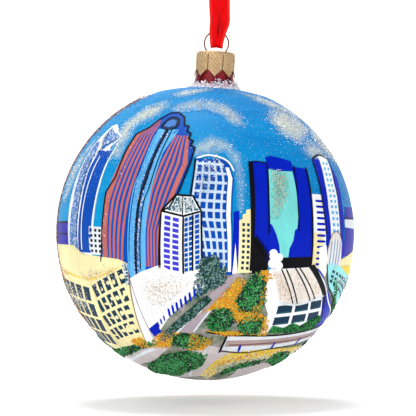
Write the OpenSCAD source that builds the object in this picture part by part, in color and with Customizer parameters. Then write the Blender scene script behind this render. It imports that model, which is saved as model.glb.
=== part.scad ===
// Painted blown-glass christmas ball with its crown cap, sprung wire hanger and satin ribbon.
// Millimetres, +Z up. The origin is where a hook carries the ribbon's loop, just under its knot,
// and everything else hangs below it.

/* [Glass ball] */
// Outside diameter of the blown ball
ball_d = 100; // [80:1:120]
// Thickness of the blown glass
glass_wall = 0.8; // [0.6:0.1:1.2]
// Radius of the flatter shoulder round the neck
shoulder_r = 70; // [62:1:90]
// How far the shoulder's middle lies below a full sphere
shoulder_drop = 1; // [0.5:0.1:1.5]

/* [Neck] */
// Outside diameter of the neck inside the cap
neck_d = 12.4; // [10:0.1:15]
// Height of the neck's rim above a full sphere
neck_h = 10.6; // [8.5:0.1:13]
// Radius of the concave flare between neck and shoulder
flare_r = 12; // [9:0.5:16]
// Height above a full sphere where the flare begins
flare_top = 4.6; // [3.5:0.1:5.5]

/* [Crown cap] */
// Thickness of the cap's stamped sheet
cap_t = 0.3; // [0.2:0.05:0.4]
// Height of the cap from its petal tips to its top
cap_h = 8.6; // [7:0.1:10]
// Radius of the rounded edge round the cap's top
cap_round = 1.3; // [0.8:0.1:1.8]
// Number of pointed petals round the skirt
petals = 8; // [6:1:10]
// Height of a petal from valley to tip
petal_h = 2.2; // [1.5:0.1:2.8]
// How far the petal tips stand out from the skirt
petal_flare = 0.35; // [0.2:0.05:0.5]
// Width of the slit above each valley
slit_w = 0.3; // [0.2:0.05:0.5]
// Plain band left between the slits and the rounded edge
slit_stop = 0.1; // [0.1:0.1:2]

/* [Hanger wire] */
// Diameter of the wire
wire_d = 0.5; // [0.4:0.05:0.8]
// Diameter of the ring, along the wire's middle
ring_d = 8.2; // [6.8:0.1:10]
// Height of the ring's centre above the cap
ring_rise = 2.8; // [2:0.1:3.2]
// Radius of the bend below each slot of the cap
bend_r = 1.2; // [1:0.1:1.5]
// Angle from straight down at which the sprung tips spread
tip_spread = 55; // [40:1:65]
// Length of each sprung tip inside the ball
tip_len = 6; // [4:0.5:10]
// How far the ring can be pushed down through the cap
slip = 1; // [0.5:0.1:1.3]

/* [Ribbon] */
// Width of the ribbon
ribbon_w = 7; // [6:0.5:8]
// Width of the ribbon gathered in the ring
bight_w = 4; // [3:0.5:5]
// Thickness of the ribbon with its folds
ribbon_t = 0.7; // [0.5:0.1:0.8]

/* [Snow] */
// Thickness of the snow grains heaped round the neck
snow_r = 1.1; // [0.8:0.1:1.4]
// Number of larger heaps in the snow
snow_heaps = 12; // [8:1:16]

/* [Clearances] */
// Radial play of the cap on the neck
cap_play = 0.1; // [0.05:0.05:0.2]
// Gap between the neck's rim and the cap
seat_gap = 0.1; // [0.05:0.05:0.2]
// Gap round the wire in the cap's slots and the neck
wire_gap = 0.1; // [0.05:0.05:0.2]
// Gap between the ring and the ribbon in it
ribbon_gap = 0.05; // [0.03:0.01:0.1]

/* [Hidden] */
$fn = 96;

ball_r = ball_d / 2;
wire_r = wire_d / 2;
ring_r = ring_d / 2;

// Heights above the middle of the ball
shoulder_z = ball_r - shoulder_drop - shoulder_r;
neck_r = neck_d / 2;
bore_r = neck_r - glass_wall;
rim_z = ball_r + neck_h;
flare_z = ball_r + flare_top;
cap_top = rim_z + seat_gap + cap_t;
valley_z = cap_top - cap_h + petal_h;
ring_z = cap_top + ring_rise;
bore_end = shoulder_z + sqrt(pow(shoulder_r - glass_wall, 2) - bore_r * bore_r);
crown_height = ring_z + ring_r;
rim_round = cap_round - cap_t;
flare_foot = foot_radius();

// Radii of the cap's skirt
skirt_in = neck_r + cap_play;
skirt_out = skirt_in + cap_t;
half_pitch = (skirt_out + petal_flare) * tan(180 / petals);
slit_up = cap_h - petal_h - cap_round - slit_stop;
tip_half = 0.45;

// Wire: the ring runs into the slots at this angle below its middle, bends back on bend_r,
// runs down the neck to its elbow, and spreads into the ball on its tip.
slot_angle = asin((ring_rise + cap_t / 2) / ring_r);
bend_at = [(ring_r + bend_r) * cos(slot_angle), ring_z - (ring_r + bend_r) * sin(slot_angle)];
elbow_r = 1.2;
elbow = [bore_r - wire_r - 1.5 * wire_gap, bore_end];
to_bend = bend_at - elbow;
leg_lean = atan2(to_bend[1], to_bend[0]) - acos(bend_r / norm(to_bend));
elbow_at = elbow + elbow_r * [cos(leg_lean), sin(leg_lean)];
tip_start = elbow_at - elbow_r * [cos(tip_spread), sin(tip_spread)];
tip_end = tip_start + tip_len * [sin(tip_spread), -cos(tip_spread)];

// Slots in the cap's top, long enough for the ring to slip down
slot_in = bend_at[0] - bend_r - wire_r - wire_gap;
slot_out = sqrt(ring_r * ring_r - pow(ring_rise - slip, 2)) + wire_r + wire_gap;

// Ribbon: points from the front tail's end, through the knot, down the front strand, through the
// ring, up the back strand and out to the back tail's end, each with the ribbon's width there.
front = [
  [[1.5, -9.5, -3.5], ribbon_w], [[1.3, -9.3, -0.5], ribbon_w], [[1, -8.4, 2.5], ribbon_w],
  [[0.8, -6.8, 5], ribbon_w], [[0.5, -4.6, 6.3], ribbon_w - 1], [[0.2, -2.4, 6], ribbon_w - 2],
  [[0, -1, 4.4], bight_w], [[0, -0.7, 2.4], bight_w], [[0, -1.2, 0.4], bight_w],
  [[0, -2.2, -1.6], ribbon_w - 1.5], [[0, -3, -4.2], ribbon_w], [[0, -3.5, -7.5], ribbon_w],
  [[0, -3.6, -11], ribbon_w], [[0, -3.4, -14.5], ribbon_w], [[0, -2.9, -18], ribbon_w],
  [[0, -2.3, -21], ribbon_w - 0.3], [[0, -1.8, -23.4], ribbon_w - 1], [[0, -1.4, -24.6], ribbon_w - 2],
  [[0, -0.8, -25.2], bight_w]
];
bight = [0, 0, -25.4];
back = [for (i = [len(front) - 1 : -1 : 0]) let (p = front[i][0]) [[-p[0], -p[1], p[2]], front[i][1]]];
route = concat(front, [[bight, bight_w]], back);
ring_sag = ring_r - sqrt(ring_r * ring_r - bight_w * bight_w / 4);
crown_z = bight[2] + ribbon_t / 2 + ribbon_gap + wire_r + ring_sag;
ball_z = crown_z - crown_height;

function unit(v) = v / norm(v);
// One flat eight-sided ring of the ribbon, square to its run
function strap_ring(i, n = len(route) - 1) =
  let (run = unit(route[min(i + 1, n)][0] - route[max(i - 1, 0)][0]),
       side = unit([1, 0, 0] - run[0] * run),
       face = cross(run, side),
       w = route[i][1] / 2,
       t = ribbon_t / 2)
  [for (c = [[1, 0.4], [0.9, 1], [-0.9, 1], [-1, 0.4], [-1, -0.4], [-0.9, -1], [0.9, -1], [1, -0.4]])
    route[i][0] + w * c[0] * side + t * c[1] * face];

module below_shoulder(grow) {
  translate([0, 0, shoulder_z]) sphere(r = shoulder_r - grow);
}

// The neck with its melted rim, and its flare down to the shoulder, about the ball's middle
module neck_outside() {
  rotate_extrude() difference() {
    translate([0, ball_r * 0.9]) square([flare_foot, flare_z - ball_r * 0.9]);
    translate([neck_r + flare_r, flare_z]) circle(r = flare_r);
  }
  translate([0, 0, flare_z - 1]) {
    cylinder(r = neck_r, h = rim_z - rim_round - flare_z + 1);
    cylinder(r = neck_r - rim_round, h = rim_z - flare_z + 1);
  }
  translate([0, 0, rim_z - rim_round]) rotate_extrude()
    translate([neck_r - rim_round, 0]) circle(r = rim_round);
}

// The blown ball and its neck as one outer shape
module ball_outside() {
  intersection() {
    sphere(r = ball_r);
    below_shoulder(0);
  }
  neck_outside();
}

// Radius where the flare's arc meets the shoulder, by halving
function flare_height(r) = flare_z - sqrt(pow(flare_r, 2) - pow(neck_r + flare_r - r, 2));
function shoulder_height(r) = shoulder_z + sqrt(shoulder_r * shoulder_r - r * r);
function foot_radius(low = neck_r, high = neck_r + flare_r * 0.9, n = 20) =
  n == 0 ? (low + high) / 2 :
  let (mid = (low + high) / 2)
  flare_height(mid) > shoulder_height(mid) ? foot_radius(mid, high, n - 1) : foot_radius(low, mid, n - 1);

module glass_ball() {
  color("royalblue") translate([0, 0, ball_z]) difference() {
    ball_outside();
    intersection() {
      sphere(r = ball_r - glass_wall);
      below_shoulder(glass_wall);
    }
    cylinder(r = bore_r, h = rim_z + 1);
  }
}

// A collar of grains on the shoulder, with larger heaps on top of it that stay off the glass
module neck_snow() {
  foot_z = shoulder_height(flare_foot);
  heap_r = snow_r * 0.8;
  color("white") translate([0, 0, ball_z]) {
    rotate_extrude() difference() {
      translate([flare_foot + 0.4, foot_z + 0.2]) circle(r = snow_r);
      translate([0, shoulder_z]) circle(r = shoulder_r);
      translate([0, foot_z - 2 * snow_r]) square([flare_foot, 4 * snow_r]);
    }
    for (i = [0 : snow_heaps - 1]) rotate(i * 360 / snow_heaps + 6 * sin(i * 70))
      rotate_extrude(angle = (0.5 + 0.15 * sin(i * 50)) * 360 / snow_heaps, $fn = 48)
        translate([flare_foot + heap_r + 0.1, foot_z + heap_r + 0.3 + 0.15 * sin(i * 100)])
          circle(r = heap_r, $fn = 48);
  }
}

// The cap as a full solid, grown inwards by the sheet
module cap_solid(in) {
  r = skirt_out - in;
  round_r = cap_round - in;
  top = cap_top - in;
  foot = cap_top - cap_h - in;
  translate([0, 0, foot]) cylinder(r1 = r + petal_flare, r2 = r, h = valley_z - foot);
  translate([0, 0, valley_z]) cylinder(r = r, h = top - round_r - valley_z);
  translate([0, 0, valley_z]) cylinder(r = r - round_r, h = top - valley_z);
  translate([0, 0, top - round_r]) rotate_extrude() translate([r - round_r, 0]) circle(r = round_r);
}

// Gap between two petals, with a slit above it
module petal_gap() {
  wide = half_pitch - tip_half;
  translate([0, 0, valley_z - petal_h]) rotate([90, 0, 90]) linear_extrude(height = skirt_out * 2) {
    polygon([[-wide - 0.2, -1], [wide + 0.2, -1], [wide, 0.3], [wide * 0.4, petal_h * 0.75],
             [-wide * 0.4, petal_h * 0.75], [-wide, 0.3]]);
    translate([0, petal_h - wide * 0.45]) circle(r = wide * 0.45);
    translate([-slit_w / 2, petal_h / 2]) square([slit_w, petal_h / 2 + slit_up]);
  }
}

module crown_cap() {
  color("burlywood") translate([0, 0, ball_z]) difference() {
    cap_solid(0);
    cap_solid(cap_t);
    for (i = [0 : petals - 1]) rotate((i + 0.5) * 360 / petals - 90) petal_gap();
    for (turn = [0, 180]) rotate(turn)
      translate([slot_in, -wire_r - wire_gap, cap_top - 2 * cap_t])
        cube([slot_out - slot_in, wire_d + 2 * wire_gap, 3 * cap_t]);
  }
}

// A round bend of wire in the XZ plane
module bend(centre, radius, start, sweep) {
  translate([centre[0], 0, centre[1]]) rotate([90, 0, 0]) rotate(start)
    rotate_extrude(angle = sweep) translate([radius, 0]) circle(r = wire_r);
}

// A straight length of wire in the XZ plane
module rod(from, to) {
  run = to - from;
  translate([from[0], 0, from[1]]) rotate([0, atan2(run[0], run[1]), 0]) cylinder(r = wire_r, h = norm(run));
}

// The wire's round end, or the place where two lengths of it join
module wire_joint(at) {
  translate([at[0], 0, at[1]]) sphere(r = wire_r + 0.01);
}

module wire_leg() {
  leg_start = bend_at - bend_r * [cos(leg_lean), sin(leg_lean)];
  bend(bend_at, bend_r, 180 - slot_angle, slot_angle + leg_lean);
  rod(leg_start, elbow);
  bend(elbow_at, elbow_r, 180 + leg_lean, tip_spread - leg_lean);
  rod(tip_start, tip_end);
  wire_joint([ring_r * cos(slot_angle), ring_z - ring_r * sin(slot_angle)]);
  for (at = [leg_start, elbow, tip_start, tip_end]) wire_joint(at);
}

module hanger_wire() {
  color("sienna") translate([0, 0, ball_z]) {
    bend([0, ring_z], ring_r, -slot_angle, 180 + 2 * slot_angle);
    wire_leg();
    mirror([1, 0, 0]) wire_leg();
  }
}

module ribbon() {
  sides = 8;
  n = len(route);
  color("red") polyhedron(
    points = [for (i = [0 : n - 1]) each strap_ring(i)],
    faces = concat(
      [[for (k = [sides - 1 : -1 : 0]) k]],
      [for (i = [0 : n - 2]) for (k = [0 : sides - 1])
        let (a = i * sides + k, b = i * sides + (k + 1) % sides)
        each [[a, b, b + sides], [a, b + sides, a + sides]]],
      [[for (k = [0 : sides - 1]) (n - 1) * sides + k]]));
}

module ribbon_knot() {
  knot_z = 2.6;
  color("firebrick") translate([0, 0, knot_z]) {
    rotate([0, 16, 0]) rotate_extrude() {
      translate([2.1, 0]) circle(r = 1.5);
      translate([0, -1.5]) square([2.1, 3]);
    }
    rotate([0, -24, 0]) rotate_extrude() {
      translate([2.3, 0]) circle(r = 1.2);
      translate([0, -1.2]) square([2.3, 2.4]);
    }
  }
}

glass_ball();
neck_snow();
crown_cap();
hanger_wire();
ribbon();
ribbon_knot();
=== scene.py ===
import math
import random
import bpy
import bmesh
from mathutils import Matrix, Vector
from mathutils.geometry import delaunay_2d_cdt


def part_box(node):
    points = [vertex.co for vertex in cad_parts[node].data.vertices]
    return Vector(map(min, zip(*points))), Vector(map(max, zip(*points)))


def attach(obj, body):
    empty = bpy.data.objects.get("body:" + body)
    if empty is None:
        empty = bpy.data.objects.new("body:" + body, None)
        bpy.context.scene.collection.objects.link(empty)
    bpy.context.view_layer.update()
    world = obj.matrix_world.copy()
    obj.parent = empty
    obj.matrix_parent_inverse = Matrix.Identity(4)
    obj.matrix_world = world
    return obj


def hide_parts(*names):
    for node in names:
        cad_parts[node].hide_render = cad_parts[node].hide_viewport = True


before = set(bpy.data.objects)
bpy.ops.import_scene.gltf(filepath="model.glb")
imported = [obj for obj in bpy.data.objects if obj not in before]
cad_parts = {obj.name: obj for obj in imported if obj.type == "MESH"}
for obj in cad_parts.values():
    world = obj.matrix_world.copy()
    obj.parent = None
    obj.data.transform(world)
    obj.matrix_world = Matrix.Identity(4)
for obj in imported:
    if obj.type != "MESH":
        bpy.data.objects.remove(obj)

for leftover in ("Cube", "Light", "Camera"):
    if leftover in bpy.data.objects:
        bpy.data.objects.remove(bpy.data.objects[leftover])

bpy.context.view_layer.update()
mm = 0.001

# sizes read off the frame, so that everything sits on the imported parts
glassLow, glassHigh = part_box("glass_ball")
ballRadius = round((glassHigh[0] - glassLow[0]) / 2, 3)
neck = {"rimHeight": 60.6 * mm, "radius": 6.2 * mm, "bore": 5.4 * mm, "flare": 12 * mm,
        "flareTop": 54.6 * mm, "rimRound": 1.0 * mm}
shoulder = {"radius": 70 * mm, "drop": 1 * mm, "fromLatitude": 60}
ballMiddle = Vector((0, 0, glassHigh[2] - neck["rimHeight"]))
shoulderMiddle = ballRadius - shoulder["drop"] - shoulder["radius"]


def colour(red, green, blue):
    # 0 to 255 as mixed on screen, to the linear values that shaders take
    shares = (red / 255, green / 255, blue / 255)
    return [c / 12.92 if c < 0.04045 else ((c + 0.055) / 1.055) ** 2.4 for c in shares]


def grey(value):
    return (value, value, value)


def feed(tree, socket, value):
    # a link from another node, or else a value set on the socket itself
    if isinstance(value, bpy.types.NodeSocket):
        tree.links.new(value, socket)
    elif socket.type == "RGBA" and len(value) == 3:
        socket.default_value = (*value, 1)
    else:
        socket.default_value = value


def addNode(tree, kind, feeds, **settings):
    node = tree.nodes.new(kind)
    for label, value in settings.items():
        setattr(node, label, value)
    for socket, value in feeds.items():
        feed(tree, node.inputs[socket], value)
    return node


def placed(name, mesh):
    piece = bpy.data.objects.new(name, mesh)
    bpy.context.scene.collection.objects.link(piece)
    return piece


def meshOf(name, build, smooth=True):
    mesh = bpy.data.meshes.new(name)
    build.to_mesh(mesh)
    build.free()
    if smooth:
        mesh.shade_smooth()
    return mesh


# camera and studio

cameraPlan = {"distance": 0.9, "lens": 230.3, "roll": 3.3, "aimRight": 0.8 * mm, "aimUp": 8.1 * mm}


def makeCamera(plan):
    turn = math.radians(plan["roll"])
    right = Vector((math.cos(turn), 0, math.sin(turn)))
    up = Vector((-math.sin(turn), 0, math.cos(turn)))
    back = Vector((0, -1, 0))
    data = bpy.data.cameras.new("camera")
    data.lens = plan["lens"]
    data.sensor_width = 36
    data.clip_start = 0.01
    camera = placed("camera", data)
    place = ballMiddle + right * plan["aimRight"] + up * plan["aimUp"] + back * plan["distance"]
    basis = [[right[i], up[i], back[i], place[i]] for i in range(3)] + [[0, 0, 0, 1]]
    camera.matrix_world = Matrix(basis)
    bpy.context.scene.camera = camera


studio = {
    "floorDrop": 8 * mm,
    "lamps": [  # name, place, size, watts
        ("keySoftbox", (-0.5, -0.75, 0.4), 0.7, 3.3),
        ("fillSoftbox", (0.65, -0.7, 0.15), 0.7, 2.1),
        ("topSoftbox", (-0.12, 0.14, 0.9), 0.4, 7.0),
    ],
    "world": 0.41,
    "card": {"halfWidth": 3.0, "front": -3.0, "back": 2.0, "bend": 0.6, "top": 3.0, "steps": 9},
    # how far the card is from the object, and how strongly it lights itself there
    "glow": {"From Min": 0.15, "From Max": 1.2, "To Min": 0.2, "To Max": 0.68},
}


def paleCard(glow):
    # the far card is out of the lamps' reach, so it lights itself to stay white
    card = bpy.data.materials.new("paleCard")
    card.use_nodes = True
    tree = card.node_tree
    place = addNode(tree, "ShaderNodeTexCoord", {}).outputs["Object"]
    away = addNode(tree, "ShaderNodeVectorMath", {0: place}, operation="LENGTH").outputs["Value"]
    strength = addNode(tree, "ShaderNodeMapRange", {"Value": away, **glow}).outputs["Result"]
    surface = tree.nodes["Principled BSDF"]
    looks = {"Base Color": (0.93, 0.93, 0.94), "Roughness": 0.9, "Emission Color": (1, 1, 1),
             "Emission Strength": strength}
    for label, value in looks.items():
        feed(tree, surface.inputs[label], value)
    return card


def makeStudio(plan):
    scene = bpy.context.scene
    scene.view_settings.view_transform = "Standard"
    # the room lights the object softly but is seen as white
    room = bpy.data.worlds.new("paleRoom")
    room.use_nodes = True
    tree = room.node_tree
    seen = addNode(tree, "ShaderNodeLightPath", {}).outputs["Is Camera Ray"]
    strength = addNode(tree, "ShaderNodeMapRange", {"Value": seen, "To Min": plan["world"], "To Max": 1.0})
    feed(tree, tree.nodes["Background"].inputs["Color"], (1, 1, 1))
    feed(tree, tree.nodes["Background"].inputs["Strength"], strength.outputs["Result"])
    scene.world = room
    for name, place, size, watts in plan["lamps"]:
        lamp = bpy.data.lights.new(name, "AREA")
        lamp.energy = watts
        lamp.size = size
        holder = placed(name, lamp)
        holder.location = ballMiddle + Vector(place)
        holder.rotation_euler = (ballMiddle - holder.location).to_track_quat("-Z", "Y").to_euler()
    # one sheet of card: a floor that sweeps up behind into the backdrop
    card = plan["card"]
    bend = card["bend"]
    floorHeight = ballMiddle.z - ballRadius - plan["floorDrop"]
    profile = [(card["front"], 0)]
    for i in range(card["steps"] + 1):
        a = math.radians(90 * i / card["steps"])
        profile.append((card["back"] + bend * math.sin(a), bend - bend * math.cos(a)))
    profile.append((card["back"] + bend, card["top"]))
    # laid level with the leaning camera, so that the shadow is seen lying level
    rise = math.tan(math.radians(cameraPlan["roll"]))
    sweep = bmesh.new()
    sides = (-card["halfWidth"], card["halfWidth"])
    rows = [[sweep.verts.new((x, y, floorHeight + z + rise * x)) for x in sides] for y, z in profile]
    for low, high in zip(rows, rows[1:]):
        sweep.faces.new((low[0], low[1], high[1], high[0]))
    floor = placed("floor", meshOf("floor", sweep))
    floor.data.materials.append(paleCard(plan["glow"]))


makeCamera(cameraPlan)
makeStudio(studio)
print("camera and studio ready")

# materials


class Finish:
    # one material in the making: patterns are laid out first, then given to its surface

    def __init__(self, name):
        self.material = bpy.data.materials.new(name)
        self.material.use_nodes = True
        self.tree = self.material.node_tree
        self.surface = self.tree.nodes["Principled BSDF"]

    def add(self, kind, feeds, **settings):
        return addNode(self.tree, kind, feeds, **settings)

    def place(self, scale=(1, 1, 1), turn=(0, 0, 0), origin=ballMiddle):
        spot = self.add("ShaderNodeTexCoord", {}).outputs["Object"]
        feeds = {"Vector": spot, "Location": [-c for c in origin], "Rotation": turn, "Scale": scale}
        return self.add("ShaderNodeMapping", feeds, vector_type="POINT").outputs["Vector"]

    def noise(self, vector, scale, detail=3.0, rough=0.6):
        feeds = {"Vector": vector, "Scale": scale, "Detail": detail, "Roughness": rough}
        return self.add("ShaderNodeTexNoise", feeds).outputs["Fac"]

    def ramp(self, factor, stops, interpolation="LINEAR"):
        node = self.add("ShaderNodeValToRGB", {"Fac": factor})
        node.color_ramp.interpolation = interpolation
        while len(node.color_ramp.elements) < len(stops):
            node.color_ramp.elements.new(0.5)
        for element, (position, tint) in zip(node.color_ramp.elements, stops):
            element.position = position
            element.color = (*tint, 1)
        return node.outputs["Color"]

    def mix(self, factor, first, second):
        return self.add("ShaderNodeMix", {0: factor, 6: first, 7: second}, data_type="RGBA").outputs[2]

    def reckon(self, kind, first, second=0.0):
        return self.add("ShaderNodeMath", {0: first, 1: second}, operation=kind).outputs[0]

    def attribute(self, name):
        return self.add("ShaderNodeAttribute", {}, attribute_name=name).outputs["Fac"]

    def bump(self, height, strength, distance):
        relief = self.add("ShaderNodeBump", {"Height": height, "Strength": strength, "Distance": distance})
        self.give({"Normal": relief.outputs["Normal"]})

    def give(self, values):
        for label, value in values.items():
            feed(self.tree, self.surface.inputs[label], value)


def shade(tint, factor):
    return [min(1.0, c * factor) for c in tint]


paintFinish = {"strokeScale": (420, 420, 130), "strokeDepth": 0.05 * mm, "vary": 0.16, "roughness": 0.42,
               "gloss": 0.05, "speckScale": 2600, "speckTone": (214, 220, 228)}
paints = {}


def paint(name, base, glitter=0.0):
    # brushed acrylic colour: streaks along the brush, a thicker and a thinner coat, and a fine grain
    if name in paints:
        return paints[name]
    finish = Finish(name)
    vary = paintFinish["vary"]
    streaks = finish.noise(finish.place(paintFinish["strokeScale"]), 1.0, 4.0, 0.65)
    patches = finish.noise(finish.place(), 90, 2.0)
    streaky = finish.ramp(streaks, [(0.3, shade(base, 1 - vary)), (0.5, base), (0.72, shade(base, 1 + vary))])
    coat = finish.ramp(patches, [(0.35, shade(base, 1 - vary * 0.7)), (0.65, shade(base, 1 + vary * 0.5))])
    tint = finish.mix(0.45, streaky, coat)
    if glitter:
        specks = finish.add("ShaderNodeTexVoronoi", {"Vector": finish.place(),
                                                     "Scale": paintFinish["speckScale"]})
        cover = finish.reckon("LESS_THAN", specks.outputs["Color"], glitter)
        tint = finish.mix(cover, tint, colour(*paintFinish["speckTone"]))
    finish.give({"Base Color": tint, "Roughness": paintFinish["roughness"],
                 "Specular IOR Level": paintFinish["gloss"]})
    finish.bump(streaks, 0.35, paintFinish["strokeDepth"])
    paints[name] = finish.material
    return finish.material


def grainMaterial(name, tones, metallic=0.35, roughness=0.28, frost=0.25):
    # glitter: each grain takes one tone from the list through its own stored tint
    finish = Finish(name)
    stops = [(i / len(tones), colour(*tint)) for i, tint in enumerate(tones)]
    grain = finish.ramp(finish.attribute("tint"), stops, "CONSTANT")
    grit = finish.noise(finish.place(), 1500, 2.0)
    tint = finish.mix(finish.reckon("MULTIPLY", grit, frost), grain, (1, 1, 1))
    finish.give({"Base Color": tint, "Specular IOR Level": 0.1 + frost, "Metallic": metallic,
                 "Roughness": roughness})
    finish.bump(grit, 0.3, 0.05 * mm)
    return finish.material


# the ball's surface in degrees: longitude 0 faces the front and grows to the right, latitude grows upwards


def ballPoint(longitude, latitude, lift=0.0):
    lon, lat = math.radians(longitude), math.radians(latitude)
    way = Vector((math.sin(lon) * math.cos(lat), -math.cos(lon) * math.cos(lat), math.sin(lat)))
    reach = ballRadius
    if latitude > shoulder["fromLatitude"]:
        along = shoulderMiddle * math.sin(lat)
        across = shoulderMiddle * math.cos(lat)
        reach = min(reach, along + math.sqrt(shoulder["radius"] ** 2 - across ** 2))
    return ballMiddle + way * (reach + lift * mm)


def sidesOf(outline):
    return zip(outline, outline[1:] + outline[:1])


def inside(point, outline):
    x, y = point
    hit = False
    for (x1, y1), (x2, y2) in sidesOf(outline):
        if (y1 > y) != (y2 > y) and x < (x2 - x1) * (y - y1) / (y2 - y1) + x1:
            hit = not hit
    return hit


def edgeDistance(point, outline):
    x, y = point
    best = math.inf
    for (x1, y1), (x2, y2) in sidesOf(outline):
        span = (x2 - x1) ** 2 + (y2 - y1) ** 2
        t = 0 if span == 0 else max(0, min(1, ((x - x1) * (x2 - x1) + (y - y1) * (y2 - y1)) / span))
        best = min(best, math.hypot(x - x1 - t * (x2 - x1), y - y1 - t * (y2 - y1)))
    return best


def tessellate(outline, step):
    # an outline in degrees, filled with points no further than a step apart, as triangles
    ring = []
    for (x1, y1), (x2, y2) in sidesOf(outline):
        count = max(1, math.ceil(max(abs(x2 - x1), abs(y2 - y1)) / step))
        ring += [(x1 + (x2 - x1) * i / count, y1 + (y2 - y1) * i / count) for i in range(count)]
    columns, rows = [range(math.floor(min(places) / step), math.ceil(max(places) / step) + 1)
                     for places in zip(*outline)]
    grid = []
    for i in columns:
        for j in rows:
            spot = (i * step + (j % 2) * step * 0.4, j * step)
            if inside(spot, outline) and edgeDistance(spot, outline) > step * 0.3:
                grid.append(spot)
    points = [Vector(p) for p in ring + grid]
    loop = [(i, (i + 1) % len(ring)) for i in range(len(ring))]
    verts, _, faces, _, _, _ = delaunay_2d_cdt(points, loop, [list(range(len(ring)))], 1, 1e-5)
    return [(v.x, v.y) for v in verts], [list(f) for f in faces]


def middleOf(outline):
    return [sum(p[c] for p in outline) / len(outline) for c in (0, 1)]


def grown(outline, factor):
    middle = middleOf(outline)
    return [(middle[0] + (x - middle[0]) * factor, middle[1] + (y - middle[1]) * factor) for x, y in outline]


leafEdge = {"spacing": 1.6, "reach": 0.9}


def ragged(outline, chance):
    # an outline nibbled in and out like a clump of leaves
    middle = middleOf(outline)
    reach = leafEdge["reach"]
    result = []
    for (x1, y1), (x2, y2) in sidesOf(outline):
        count = max(2, round(math.hypot(x2 - x1, y2 - y1) / leafEdge["spacing"]))
        for k in range(count):
            x, y = x1 + (x2 - x1) * k / count, y1 + (y2 - y1) * k / count
            away = math.hypot(x - middle[0], y - middle[1]) or 1
            push = chance.uniform(-reach, reach * 0.6)
            result.append((x + (x - middle[0]) / away * push, y + (y - middle[1]) / away * push))
    return result


def curvePoint(stops, i, t):
    # a smooth curve through the stops: a share t of the way from stop i to the next one
    near = stops[max(i - 1, 0)], stops[i], stops[i + 1], stops[min(i + 2, len(stops) - 1)]
    point = []
    for a, b, c, d in zip(*near):
        bend, twist = 2 * a - 5 * b + 4 * c - d, 3 * b - a - 3 * c + d
        point.append(0.5 * (2 * b + (c - a) * t + bend * t * t + twist * t ** 3))
    return point


# the paint's build-up in mm: a coat, and where fills, lines, grains and the hidden underside start
stack = {"coat": 0.035, "fill": 0.03, "line": 0.02, "grains": 0.05, "under": -0.05, "lineStep": 1.6,
         "taper": 0.65}


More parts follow.
